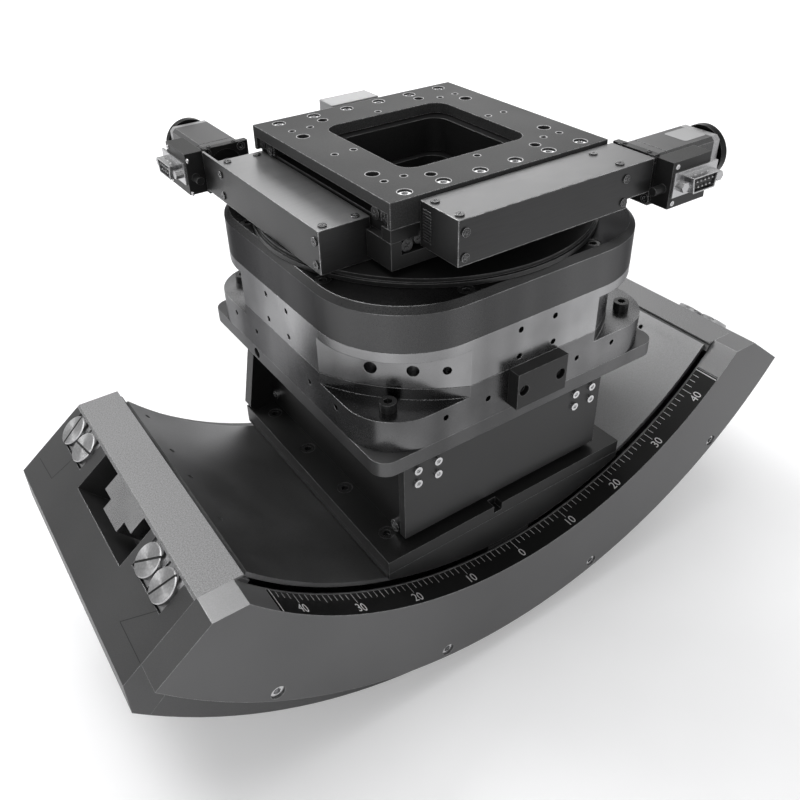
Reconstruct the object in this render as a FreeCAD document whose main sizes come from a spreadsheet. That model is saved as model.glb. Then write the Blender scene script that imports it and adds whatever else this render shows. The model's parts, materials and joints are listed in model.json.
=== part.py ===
import FreeCAD, Part
import math
import os
import re
from FreeCAD import Placement, Rotation, Vector

# Five-axis motorized stage. Millimetres, +Z up, X along the swivel arc's chord,
# front scale face towards -Y. Origin: centre of the flat foot's hole pattern.

# A number is a driving size. A text is a sheet formula, for a size that follows from others.
SIZES = {
    # swivel arc, radii from the swivel axis
    "cover_inner": 213.6, "cover_sheet": 2.5, "end_angle": 52.5, "block_angle": 47.4,
    "cover_angle": 48.1, "arc_inner": "cover_inner + 4.4", "rail_inner": "arc_inner + 14.5",
    "floor_radius": "rail_inner + 18", "arc_outer": "floor_radius + 43",
    "axis_height": "arc_outer - 8.5", "ring_outer": "arc_inner + 51",
    "land_drop": "rail_inner * cos(end_angle) - 0.54", "bar_height": 1.0,
    "bar_inner": "(cover_inner + cover_sheet) * sin(cover_angle) + 0.35",
    "tip_flat": "arc_outer * sin(end_angle) - 9.85", "ring_front": 100.0,
    "ring_back": "ring_front - 16.8", "body_back": "ring_back + 5.8", "back_wall": 7.0,
    "strip_depth": 0.6, "strip_front": "ring_front - 0.4", "strip_back": "ring_back + 1.1",
    "strip_angle": 44.3, "cover_front": "ring_back - 2.2",
    "cover_back": "body_back - back_wall - 4", "cover_hole": 3.2, "cover_hole_angle": 45.6,
    "rail_front": "cover_front - 9", "rail_width": 17.0, "rail_slit": 1.5,
    "rail_shift": "(body_back - back_wall - rail_front) / 2", "seat_gap": 0.3,
    "rail_angle": "end_angle - 0.3", "rail_disc": 8.6, "rail_disc_height": 3.6,
    "sector_width": 39.0, "sector_web": 20.0, "sector_flange": 11.5,
    "window_front": 30.5, "window_back": 37.0, "window_outer": "floor_radius + 6",
    "ring_screw_radius": "arc_inner + 45.6", "ring_screw_angle": 25.0, "foot_bolt": 3.3,
    "foot_pitch_x": 100.0, "foot_pitch_y": 120.0, "foot_bolt_depth": 12.0,
    # levels, from the arc up
    "saddle_radius": "cover_inner - 0.8", "level_flange": "axis_height - saddle_radius + 21.8",
    "level_pedestal": "level_flange + 8.4", "level_adapter": "level_pedestal + 67.4",
    "level_base": "level_adapter + 8.3", "level_table": "level_base + 24.6",
    "level_rotary": "level_table + 25.1", "level_disc": "level_rotary + 22.8",
    "level_lower": "level_disc + 8.1", "level_middle": "level_lower + 13.4",
    "level_top": "level_middle + 6.3", "level_face": "level_top + 12.7",
    # carriage
    "flange_half": 84.8, "flange_front": "cover_front + 3.2", "flange_back": "cover_back + 5.8",
    "notch_x": -10.9, "notch_width": 5.7, "notch_depth": 6.0, "notch_height": 4.9,
    "margin_x": "flange_half - 11.3", "margin_y": "flange_front - 18.9",
    "leg_sheet": 1.5, "shoe_angle": 4.0, "shoe_outer": "rail_inner - 0.3",
    "shoe_inner": "cover_inner + cover_sheet + 1.4", "box_half": 67.4,
    "box_front": "flange_front - 6.9", "box_back": "flange_back - 8.1", "box_wall": 8.0,
    "plate_sheet": 5.0, "back_sheet": 8.1, "back_low_half": "flange_half + 0.7",
    "back_top_half": "box_half + 6.6", "back_clip": 4.0, "front_low": "level_pedestal + 2.8",
    "adapter_half": 93.0, "adapter_radius": 9.0, "base_radius": 28.0,
    "core_radius": "adapter_half * 1.0925", "pocket_floor": "level_base + 17.9",
    "corner_screw": "adapter_half - 15.5", "lip_height": 5.3, "rotary_radius": 50.0,
    "rotary_chamfer": 3.0, "side_hole_far": 55.2, "side_hole_near": 29.6,
    "table_hole": 11.0, "adapter_hole": 33.5, "stop_width": 32.5, "stop_height": 20.7,
    "stop_depth": 7.2, "stop_x": -17.2, "stop_margin": 4.2,
    "swivel_shaft_level": "level_pedestal + 33.6", "lift_shaft_level": "level_base + 11.9",
    "lift_shaft_start": 8.6, "swivel_motor_long": 40.0, "lift_motor_long": 36.0,
    "small_knob_radius": 9.7, "plate_screw_x": 55.0, "plate_screw_pitch": 12.7,
    "plate_screw_high": "level_adapter - 20", "plate_screw_low": "level_adapter - 28.6",
    # rotary table
    "disc_radius": 90.5, "rim_radius": "disc_radius + 1.5", "rim_height": 2.2,
    "disc_height": 4.1, "disc_gap": 0.3, "hub_radius": 60.0, "wheel_radius": 50.0,
    "wheel_low": "level_rotary + 4.2", "bore_radius": 24.0, "worm_x": 62.0,
    "worm_level": "level_rotary + 11.2", "worm_radius": 10.5, "worm_half": 38.0,
    "rotary_motor_long": 32.0, "shaft_radius": 3.0,
    "housing_screw_radius": "adapter_half + 1.5", "housing_screw_angle": 24.5,
    # slides
    "plate_half": 65.0, "aperture_top": 38.0, "aperture_middle": 33.0,
    "aperture_lower": 29.0, "aperture_radius": 9.0, "rail_out": "plate_half - 9.4",
    "rail_in": "plate_half - 17.6", "slide_rail": 7.0, "slide_rail_height": 6.0,
    "slide_gap": 0.5, "pad_half": "plate_half - 21.4", "channel_half": "plate_half - 5.6",
    "channel_height": 6.9, "side_step": "plate_half - 3.8", "large_x": "plate_half - 12.4",
    "large_y": 32.4, "medium_x": 31.6, "medium_y": "plate_half - 16.2",
    "small_outer": "plate_half - 11.8", "small_inner": "plate_half - 22.5",
    "small_y": 43.0, "top_screw_pitch": 21.1, "top_screw_y": "plate_half - 6.6",
    "slide_travel": 12.5, "upper_out": "plate_half - 5.8", "upper_in": "plate_half - 14.2",
    # drive units
    "x_cover_start": -50.4, "x_cover_end": "plate_half + 1.5", "y_cover_start": -44.0,
    "y_cover_end": "plate_half + 16.5", "cover_wide": 27.0, "cover_tall": 21.5, "sheet": 1.2,
    "x_cover_top": "level_face - 1.6", "y_cover_top": "level_top - 1.4",
    "x_side": "plate_half + 1.5", "y_side": "plate_half - 3", "bracket_sheet": 4.0,
    "bracket_tall": 25.5, "motor_half": 11.9, "motor_long": 45.0, "motor_flange": 6.0,
    "box_long": 27.0, "box_deep": 10.5, "box_tall": 23.4, "plug_drop": 12.0,
    "plug_long": 30.8, "plug_tall": 12.5, "knob_radius": 13.8, "knob_thick": 4.0,
    "screw_radius": 3.0, "box_offset": 16.4, "box_start": 2.0, "bracket_in": 14.2,
    "bracket_screw": 10.0, "bracket_bore": 10.0, "nut_radius": 6.0, "rib_top": 11.4,
    "rib_low": 17.2, "x_panel_end": "plate_half + 1.5", "y_panel_end": "plate_half - 2",
    "x_far_screw": "plate_half - 17.1", "y_far_screw": "plate_half - 6.5",
    "cover_step": 4.8, "cover_step_start": "plate_half - 14",
    "limit_x": -14.0, "limit_wide": 30.5, "limit_near": "plate_half + 3",
    "limit_deep": 15.0, "limit_top": "level_face - 0.1", "limit_tall": 20.0,
}

doc = FreeCAD.newDocument("FiveAxisStage")
sheet = doc.addObject("Spreadsheet::Sheet", "Sizes")


class Values:
    pass


def fill_sheet():
    formulas = []
    for row, (name, value) in enumerate(SIZES.items(), 1):
        sheet.set("A%d" % row, name)
        sheet.set("B%d" % row, str(value) if isinstance(value, float) else "0")
        sheet.setAlias("B%d" % row, name)
        if isinstance(value, str):
            formulas.append(("B%d" % row, "=" + value))
    for cell, formula in formulas:
        sheet.set(cell, formula)
    doc.recompute()
    values = Values()
    for name in SIZES:
        setattr(values, name, float(getattr(sheet, name)))
    return values


s = fill_sheet()
WORD = re.compile(r"[a-z]+(?:_[a-z]+)*")
DOWN = Rotation(Vector(1, 0, 0), -90)
FACE = {
    "z": Rotation(), "-z": Rotation(Vector(1, 0, 0), 180),
    "y": Rotation(Vector(1, 0, 0), -90), "-y": Rotation(Vector(1, 0, 0), 90),
    "x": Rotation(Vector(0, 1, 0), 90), "-x": Rotation(Vector(0, 1, 0), -90),
}


def bind(item, prop, text):
    item.setExpression(prop, WORD.sub(lambda m: "Sizes." + m.group(0), str(text)))


def place(item, at, rotation=None):
    item.Placement = Placement(Vector(0, 0, 0), rotation or Rotation())
    for letter, text in zip("xyz", at):
        bind(item, "Placement.Base." + letter, text)


def box(name, size, at):
    item = doc.addObject("Part::Box", name)
    for prop, text in zip(("Length", "Width", "Height"), size):
        bind(item, prop, text)
    place(item, at)
    return item


def cylinder(name, radius, height, at, axis="z"):
    item = doc.addObject("Part::Cylinder", name)
    bind(item, "Radius", radius)
    bind(item, "Height", height)
    place(item, at, FACE[axis])
    return item


def cut(name, base, *tools):
    item = doc.addObject("Part::Cut", name)
    item.Base = base
    item.Tool = tools[0] if len(tools) == 1 else fuse(name + "_tools", *tools)
    return item


def fuse(name, *pieces):
    item = doc.addObject("Part::MultiFuse", name)
    item.Shapes = list(pieces)
    return item


def common(name, *pieces):
    item = doc.addObject("Part::MultiCommon", name)
    item.Shapes = list(pieces)
    return item


def solid(name, shape):
    item = doc.addObject("Part::Feature", name)
    item.Shape = shape
    item.Placement = Placement()
    return item


def sector(name, inner, outer, front, back, start, end):
    # ring sector about the swivel axis; angles from straight down, + towards +X
    turn = DOWN * Rotation(Vector(0, 0, 1), 90 - end)
    pieces = []
    for tag, radius, extra in (("_out", outer, "0"), ("_in", inner, "1")):
        item = doc.addObject("Part::Cylinder", name + tag)
        bind(item, "Radius", radius)
        bind(item, "Height", "(%s) - (%s) + 2 * %s" % (back, front, extra))
        item.Angle = end - start if extra == "0" else 360
        place(item, ("0", "(%s) - %s" % (front, extra), "axis_height"), turn)
        pieces.append(item)
    return cut(name, *pieces)


def upright_edges(shape, pick=None):
    found = []
    for index, edge in enumerate(shape.Edges, 1):
        ends = [v.Point for v in edge.Vertexes]
        if len(ends) == 2 and (ends[0] - ends[1]).x ** 2 + (ends[0] - ends[1]).y ** 2 < 1e-6:
            if pick is None or pick(ends[0]):
                found.append(index)
    return found


def rounded(name, base, radius, pick=None):
    doc.recompute()
    item = doc.addObject("Part::Fillet", name)
    item.Base = base
    item.Edges = [(n, radius, radius) for n in upright_edges(base.Shape, pick)]
    return item


def pins(spots, axis, radius, depth):
    turn = FACE[axis]
    shapes = []
    for spot in spots:
        pin = Part.makeCylinder(radius, depth)
        pin.Placement = Placement(Vector(*spot), turn)
        shapes.append(pin)
    return Part.makeCompound(shapes)


def drill(name, base, *tools):
    return cut(name, base, solid(name + "_holes", Part.makeCompound(list(tools))))


def hexagon(radius, depth):
    corners = [Vector(radius * math.cos(math.radians(60 * k)),
                      radius * math.sin(math.radians(60 * k)), 0) for k in range(7)]
    return Part.Face(Part.makePolygon(corners)).extrude(Vector(0, 0, -depth))


def screw(head, tall, shank, long):
    # socket head screw, seat at the origin, head up
    body = Part.makeCylinder(head, tall).fuse(Part.makeCylinder(shank, long, Vector(0, 0, -long)))
    socket = hexagon(head * 0.55, tall * 0.6)
    socket.translate(Vector(0, 0, tall))
    return body.cut(socket)


def screws(name, groups, head, tall, shank, long):
    shapes = []
    for axis, spots in groups:
        for spot in spots:
            piece = screw(head, tall, shank, long)
            piece.Placement = Placement(Vector(*spot), FACE[axis])
            shapes.append(piece)
    return solid(name, Part.makeCompound(shapes))


def grid(half_x, half_y, z):
    return [(x, y, z) for x in (-half_x, half_x) for y in (-half_y, half_y)]


def polar(radius, degrees, y):
    angle = math.radians(degrees)
    return (radius * math.sin(angle), y, s.axis_height - radius * math.cos(angle))


def prism(points, direction):
    return Part.Face(Part.makePolygon(points + points[:1])).extrude(direction)


# fixed base

def arc_blank(name, inner):
    full = sector(name + "_full", inner, "arc_outer", "-ring_back", "body_back",
                  -s.end_angle, s.end_angle)
    slab = box(name + "_slab", ("2 * tip_flat", "body_back + ring_back",
               "axis_height - land_drop - bar_height"), ("-tip_flat", "-ring_back", "0"))
    return common(name + "_blank", full, slab)


def build_arc_body():
    trough = sector("trough", "arc_inner - 5", "floor_radius", "-ring_back - 1",
                    "body_back - back_wall", -s.block_angle, s.block_angle)
    keep = sector("body_keep", "arc_inner - 5", "arc_outer + 40", "-ring_back - 1",
                  "body_back + 1", -s.block_angle, s.block_angle)
    body = cut("body_trough", common("body_span", arc_blank("body", "arc_inner"), keep), trough)
    spots = [(x, y, 0) for x in (-s.foot_pitch_x / 2, s.foot_pitch_x / 2)
             for y in (-s.foot_pitch_y / 2, s.foot_pitch_y / 2)]
    return drill("arc_body", body, pins(spots, "z", s.foot_bolt, s.foot_bolt_depth),
                 ring_bolts(-s.ring_back, "y", 2.1))


def ring_bolts(y, axis, radius):
    spots = [polar(s.ring_screw_radius, k * s.ring_screw_angle / 2, y) for k in (-3, -1, 1, 3)]
    return pins(spots, axis, radius, 12)


def end_openings():
    rows = []
    first = -s.rail_front
    pair = 2 * s.rail_width + s.rail_slit
    second = -first - pair + 2 * s.rail_shift
    for start in (first, second):
        rows.append((start, start + pair, s.rail_inner - s.seat_gap, s.floor_radius))
    rows.append((-s.window_front, s.window_back, s.rail_inner - s.seat_gap, s.window_outer))
    return rows


def wedge(inner, outer, front, back, start, end):
    turn = DOWN * Rotation(Vector(0, 0, 1), 90 - end)
    shape = Part.makeCylinder(outer, back - front, Vector(), Vector(0, 0, 1), end - start)
    shape = shape.cut(Part.makeCylinder(inner, back - front))
    shape.Placement = Placement(Vector(0, front, s.axis_height), turn)
    return shape


def build_end_plate(name, sign):
    low, high = sorted((sign * s.block_angle, sign * (s.end_angle + 1)))
    keep = sector(name + "_keep", "arc_inner - 5", "arc_outer + 40", "-ring_back - 1",
                  "body_back + 1", low, high)
    blank = common(name + "_span", arc_blank(name, "cover_inner + cover_sheet"), keep)
    low, high = sorted((sign * (s.block_angle - 1), sign * (s.end_angle + 1)))
    tools = [wedge(r0, r1, y0, y1, low, high) for y0, y1, r0, r1 in end_openings()]
    return drill(name, blank, *tools)


def build_scale_ring():
    full = sector("ring_full", "arc_inner", "ring_outer", "-ring_front", "-ring_back",
                  -s.end_angle, s.end_angle)
    slab = box("ring_slab", ("2 * ring_outer", "ring_front", "axis_height - land_drop"),
               ("-ring_outer", "-ring_front", "0"))
    seat = sector("strip_seat", "arc_inner - 5", "arc_inner + strip_depth", "-strip_front",
                  "-strip_back", -s.strip_angle - 0.2, s.strip_angle + 0.2)
    ring = cut("ring_plain", common("ring_span", full, slab), seat)
    bores = pins([polar(s.ring_screw_radius, k * s.ring_screw_angle / 2, -s.ring_front)
                  for k in (-3, -1, 1, 3)], "y", 3.9, 5)
    return drill("scale_ring", ring, bores, ring_bolts(-s.ring_front, "y", 2.1),
                 ring_bolts(-s.ring_front + 8, "y", 2.1))


def build_strip():
    sector("scale_strip", "arc_inner + 0.05", "arc_inner + strip_depth", "-strip_front",
           "-strip_back", -s.strip_angle, s.strip_angle)


def build_arc_cover():
    sheet_part = sector("cover_plain", "cover_inner", "cover_inner + cover_sheet",
                        "-cover_front", "cover_back", -s.cover_angle, s.cover_angle)
    tools = []
    for sign in (-1, 1):
        for y in (-36, 2, 28, 66):
            spot = polar(s.cover_inner - 1, sign * s.cover_hole_angle, y)
            tools.append(radial_pin(spot, sign * s.cover_hole_angle, s.cover_hole / 2))
    return drill("arc_cover", sheet_part, *tools)


def radial_pin(spot, degrees, radius):
    # short pin that points away from the swivel axis
    pin = Part.makeCylinder(radius, 5)
    pin.Placement = Placement(Vector(*spot), Rotation(Vector(0, 1, 0), 180 - degrees))
    return pin


def build_bar(name, sign):
    drop = s.axis_height - s.land_drop
    slope = math.tan(math.radians(s.end_angle))
    profile = [Vector(sign * s.bar_inner, -s.ring_back, drop),
               Vector(sign * s.land_drop * slope, -s.ring_back, drop),
               Vector(sign * (s.land_drop + s.bar_height) * slope, -s.ring_back,
                      drop - s.bar_height),
               Vector(sign * s.bar_inner, -s.ring_back, drop - s.bar_height)]
    solid(name, prism(profile, Vector(0, s.ring_back + s.body_back, 0)))


def rail_rows():
    rows = []
    for y0, y1, r0, r1 in end_openings()[:2]:
        rows.append((y0, y0 + s.rail_width))
        rows.append((y1 - s.rail_width, y1))
    return rows


def build_rails():
    outer = s.floor_radius - s.seat_gap
    shapes = [wedge(s.rail_inner, outer, y0, y1, -s.rail_angle, s.rail_angle)
              for y0, y1 in rail_rows()]
    solid("guide_rails", Part.makeCompound(shapes))


def build_rail_discs():
    shapes = []
    middle = (s.rail_inner + s.floor_radius) / 2
    for sign in (-1, 1):
        for y0, y1 in rail_rows():
            disc = Part.makeCylinder(s.rail_disc, s.rail_disc_height)
            slot = Part.makeBox(2 * s.rail_disc, 1.2, 1.2)
            slot.translate(Vector(-s.rail_disc, -0.6, s.rail_disc_height - 1))
            slot.rotate(Vector(), Vector(0, 0, 1), 90)
            disc = disc.cut(slot)
            turn = Rotation(Vector(0, 1, 0), -sign * s.rail_angle) * FACE["x" if sign > 0 else "-x"]
            disc.Placement = Placement(Vector(*polar(middle, sign * s.rail_angle, (y0 + y1) / 2)),
                                       turn)
            shapes.append(disc)
    solid("rail_end_screws", Part.makeCompound(shapes))


def build_gear_sector():
    top = s.rail_inner + s.sector_flange
    shape = wedge(s.rail_inner, top, -s.sector_width / 2, s.sector_width / 2,
                  -s.rail_angle, s.rail_angle)
    web = wedge(top, s.floor_radius - s.seat_gap, -s.sector_web / 2, s.sector_web / 2,
                -s.rail_angle, s.rail_angle)
    solid("gear_sector", shape.fuse(web))


def build_ring_screws():
    spots = [polar(s.ring_screw_radius, k * s.ring_screw_angle / 2, -s.ring_front + 5)
             for k in (-3, -1, 1, 3)]
    screws("ring_screws", [("-y", spots)], 3.8, 4.0, 2.0, 15)


def build_base():
    build_arc_body()
    build_end_plate("end_plate_left", -1)
    build_end_plate("end_plate_right", 1)
    build_scale_ring()
    build_strip()
    build_arc_cover()
    build_bar("land_bar_left", -1)
    build_bar("land_bar_right", 1)
    build_rails()
    build_rail_discs()
    build_gear_sector()
    build_ring_screws()


# carriage

def build_saddle():
    block = box("saddle_block", ("2 * flange_half", "flange_front + flange_back",
                "level_flange - 60"), ("-flange_half", "-flange_front", "60"))
    under = cylinder("saddle_under", "saddle_radius", "flange_front + flange_back + 2",
                     ("0", "-flange_front - 1", "axis_height"), "y")
    return drill("saddle", common("saddle_plain", block, under),
                 pins([(x, y, s.level_flange - 8) for x, y in margin_spots()], "z", 2.1, 9))


def margin_spots():
    return [(x, y * s.margin_y) for x in (-s.margin_x, s.margin_x) for y in (-1, -1 / 3, 1 / 3, 1)]


def build_shoes():
    shapes = []
    for leg, start, end in ((-s.cover_front - 0.4 - s.leg_sheet, -s.cover_front - 0.4, None),
                            (s.cover_back + 0.3, s.cover_back + 0.3 + s.leg_sheet, None)):
        shapes.append((leg, start))
    (front0, front1), (back0, back1) = shapes
    rows = rail_rows()
    pairs = ((front0, front1, front0, rows[1][1]), (back0, back1, rows[2][0], back1))
    solids = []
    for y0, y1, shoe0, shoe1 in pairs:
        leg = wedge(s.saddle_radius, s.shoe_inner, y0, y1, -s.shoe_angle, s.shoe_angle)
        shoe = wedge(s.shoe_inner, s.shoe_outer, shoe0, shoe1, -s.shoe_angle, s.shoe_angle)
        solids.append(leg.fuse(shoe))
    solid("guide_shoes", Part.makeCompound(solids))


def build_flange():
    plate = box("flange_block", ("2 * flange_half", "flange_front + flange_back",
                "level_pedestal - level_flange"), ("-flange_half", "-flange_front", "level_flange"))
    notch = box("flange_notch", ("notch_width", "notch_depth", "20"),
                ("notch_x - notch_width / 2", "-flange_front - 0.01",
                 "level_pedestal - notch_height"))
    top = s.level_pedestal
    spots = [(x, y, top - 4.5) for x, y in margin_spots()]
    through = [(x, y, s.level_flange - 1) for x, y in margin_spots()]
    return drill("flange_plate", cut("flange_plain", plate, notch),
                 pins(spots, "z", 4.4, 6), pins(through, "z", 2.1, 12))


def build_pedestal():
    outer = box("pedestal_outer", ("2 * box_half", "box_front + box_back - plate_sheet",
                "level_adapter - level_pedestal"),
                ("-box_half", "plate_sheet - box_front", "level_pedestal"))
    inner = box("pedestal_inner", ("2 * box_half - 2 * box_wall",
                "box_front + box_back - plate_sheet - 2 * box_wall",
                "level_adapter - level_pedestal + 2"),
                ("box_wall - box_half", "plate_sheet - box_front + box_wall",
                 "level_pedestal - 1"))
    bore = cylinder("pedestal_bore", "4", "40", ("0", "box_back - 30", "swivel_shaft_level"), "y")
    front = [(x, -s.box_front + s.plate_sheet - 1, z) for x, z in front_plate_spots()]
    side = [(x, y, z) for sgn in (-1, 1) for x, y, z in dome_spots(sgn)]
    return drill("pedestal_box", cut("pedestal_plain", outer, inner, bore),
                 pins(front, "y", 1.6, 8), pins(side[:2], "x", 2.1, 7),
                 pins(side[2:], "-x", 2.1, 7))


def front_plate_spots():
    half = s.plate_screw_pitch / 2
    columns = [sign * s.plate_screw_x + step for sign in (-1, 1) for step in (-half, half)]
    return [(x, z) for x in columns for z in (s.plate_screw_high, s.plate_screw_low)]


def dome_spots(sign):
    low = s.level_pedestal
    return [(sign * s.box_half, 9.3 - s.box_front, low + 5.6),
            (sign * s.box_half, s.box_back - 5.7, low + 10.6)]


def build_front_plate():
    plate = box("front_block", ("2 * box_half + 4", "plate_sheet", "level_adapter - front_low"),
                ("-box_half - 2", "-box_front", "front_low"))
    spots = [(x, -s.box_front - 1, z) for x, z in front_plate_spots()]
    return drill("front_plate", plate, pins(spots, "y", 1.6, 8))


def build_back_plate():
    y = s.box_back
    low, high = s.level_pedestal, s.level_adapter
    clip = s.back_clip
    right = [(s.back_low_half - clip * 0.6, low), (s.back_low_half, low + clip),
             (s.back_top_half, high)]
    points = [Vector(x, y, z) for x, z in right] + [Vector(-x, y, z) for x, z in right[::-1]]
    plate = solid("back_block", prism(points, Vector(0, s.back_sheet, 0)))
    return drill("back_plate", plate, pins([(0, y - 1, s.swivel_shaft_level)], "y", 4, s.back_sheet + 2))


def build_adapter():
    block = box("adapter_block", ("2 * adapter_half", "2 * adapter_half",
                "level_base - level_adapter"), ("-adapter_half", "-adapter_half", "level_adapter"))
    plate = rounded("adapter_round", block, s.adapter_radius)
    middle = (s.level_adapter + s.level_base) / 2
    edge = [(-s.adapter_half - 1, s.adapter_hole, middle)]
    other = [(s.adapter_half + 1, -s.adapter_hole, middle)]
    return drill("adapter_plate", plate, pins(edge, "x", 3.2, 14), pins(other, "-x", 3.2, 14),
                 pins(grid(s.corner_screw, s.corner_screw, s.level_adapter - 1), "z", 2.6, 12))


def small_motor(name, x, y, z, long):
    # square motor with chamfered long edges, axis along +Y, square at y
    half = s.motor_half
    c = 2.0
    ring = [(half, half - c), (half - c, half), (c - half, half), (-half, half - c),
            (-half, c - half), (c - half, -half), (half - c, -half), (half, c - half)]
    body = prism([Vector(x + a, y, z + b) for a, b in ring], Vector(0, long, 0))
    bore = Part.makeCylinder(s.shaft_radius + 0.2, long + 2, Vector(x, y - 1, z), Vector(0, 1, 0))
    return solid(name, body.cut(bore))


def shaft_and_knob(name, x, y0, y1, z, wide_to=None, wide=0):
    turn = Vector(0, 1, 0)
    shape = Part.makeCylinder(s.shaft_radius, y1 - y0, Vector(x, y0, z), turn)
    knob = Part.makeCylinder(s.small_knob_radius, s.knob_thick, Vector(x, y1, z), turn)
    shape = shape.fuse(knob)
    if wide_to is not None:
        shape = shape.fuse(Part.makeCylinder(wide, wide_to - y0, Vector(x, y0, z), turn))
    return solid(name, shape)


def build_lift_base():
    # square foot with rounded lugs, and above it the same square met by a round core
    low = box("base_low_block", ("2 * adapter_half", "2 * adapter_half",
              "pocket_floor - level_base"), ("-adapter_half", "-adapter_half", "level_base"))
    foot = rounded("base_foot", low, s.base_radius)
    high = box("base_high_block", ("2 * adapter_half", "2 * adapter_half",
               "level_table - 0.2 - pocket_floor"),
               ("-adapter_half", "-adapter_half", "pocket_floor"))
    core = cylinder("base_core_round", "core_radius", "level_table - 0.2 - pocket_floor",
                    ("0", "0", "pocket_floor"))
    block = fuse("base_plain", foot, common("base_core", high, core))
    half = s.adapter_half
    holes = []
    level = s.level_base + 12.1
    for u in (-s.side_hole_far, -s.side_hole_near, s.side_hole_near, s.side_hole_far):
        holes.append(pins([(u, -half - 1, level)], "y", 1.6, 8))
        holes.append(pins([(u, half + 1, level)], "-y", 1.6, 8))
        holes.append(pins([(-half - 1, u, level)], "x", 1.6, 8))
        holes.append(pins([(half + 1, u, level)], "-x", 1.6, 8))
    shaft = [(0, -20, s.lift_shaft_level)]
    return drill("lift_base", block, *holes,
                 pins(grid(s.corner_screw, s.corner_screw, s.level_base - 2), "z", 2.6, 30),
                 pins(shaft, "y", s.shaft_radius + 0.3, 120),
                 pins([(0, 0, s.level_base + 4)], "z", 9, 40))


def build_stop_block():
    y = -s.adapter_half - s.stop_depth
    low = s.level_table - 0.3 - s.stop_height
    body = Part.makeBox(s.stop_width, s.stop_depth, s.stop_height, Vector(s.stop_x, y, low))
    spots = [(s.stop_x + s.stop_margin, y - 1, low + s.stop_height / 2),
             (s.stop_x + s.stop_width - s.stop_margin, y - 1, low + s.stop_height / 2)]
    body = body.cut(pins(spots, "y", 3.0, 4.2)).cut(pins(spots, "y", 1.6, 20))
    solid("lift_stop_block", body)


def build_carriage():
    build_saddle()
    build_shoes()
    build_flange()
    build_pedestal()
    build_front_plate()
    build_back_plate()
    build_adapter()
    build_lift_base()
    build_stop_block()
    level = s.swivel_shaft_level
    back = s.box_back + s.back_sheet
    small_motor("swivel_motor", 0, back, level, s.swivel_motor_long)
    shaft_and_knob("swivel_shaft", 0, s.box_back - 25, back + s.swivel_motor_long + 1, level)
    level = s.lift_shaft_level
    small_motor("lift_motor", 0, s.adapter_half, level, s.lift_motor_long)
    shaft_and_knob("lift_shaft", 0, s.lift_shaft_start,
                   s.adapter_half + s.lift_motor_long + 1, level)
    screws("flange_screws", [("z", [(x, y, s.level_pedestal - 4.5) for x, y in margin_spots()])],
           4.1, 4.2, 2.0, 10)
    front = [(x, -s.box_front, z) for x, z in front_plate_spots()]
    screws("front_plate_screws", [("-y", front)], 2.4, 1.6, 1.5, 9)
    domes = [("-x", dome_spots(-1)), ("x", dome_spots(1))]
    screws("side_screws", domes, 3.6, 2.6, 2.0, 5.5)
    corners = grid(s.corner_screw, s.corner_screw, s.pocket_floor)
    screws("lift_base_screws", [("z", corners)], 4.2, 4.6, 2.5, 22)


# lift table and rotary housing

def build_lift_table():
    # full square lip on top, round core met by the square below it
    lip = box("table_lip_block", ("2 * adapter_half", "2 * adapter_half", "lip_height"),
              ("-adapter_half", "-adapter_half", "level_rotary - lip_height"))
    lip = rounded("table_lip", lip, s.rotary_radius)
    low = box("table_low_block", ("2 * adapter_half", "2 * adapter_half",
              "level_rotary - lip_height - level_table"),
              ("-adapter_half", "-adapter_half", "level_table"))
    core = cylinder("table_core_round", "core_radius", "level_rotary - lip_height - level_table",
                    ("0", "0", "level_table"))
    block = fuse("table_plain", lip, common("table_core", low, core))
    half = s.adapter_half
    tools = []
    for u in (-s.table_hole, s.table_hole):
        for z in (s.level_table + 4.8, s.level_rotary - 5.3):
            tools.append(pins([(u, -half - 1, z)], "y", 1.6, 8))
            tools.append(pins([(-half - 1, u, z)], "x", 1.6, 8))
    tools.append(pins([(0, 0, s.level_table - 1)], "z", 9, 18))
    return drill("lift_table", block, *tools, corner_holes())


def corner_holes():
    # three radial holes in each round corner wall
    shapes = []
    for turn in (45, 135, 225, 315):
        for step, radius in ((-5.5, 3.2), (5.9, 3.0), (14.9, 2.2)):
            turned = Rotation(Vector(0, 0, 1), turn + step)
            hole = Part.makeCylinder(radius, 9)
            hole.Placement = Placement(turned.multVec(Vector(s.core_radius + 1, 0, s.level_table + 9.8)),
                                       turned * FACE["-x"])
            shapes.append(hole)
    return Part.makeCompound(shapes)


def housing_spots(z):
    spots = []
    for quarter in (0, 90, 180, 270):
        for sign in (-1, 1):
            angle = math.radians(quarter + sign * s.housing_screw_angle)
            radius = s.housing_screw_radius
            spots.append((radius * math.cos(angle), radius * math.sin(angle), z))
    return spots


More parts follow.
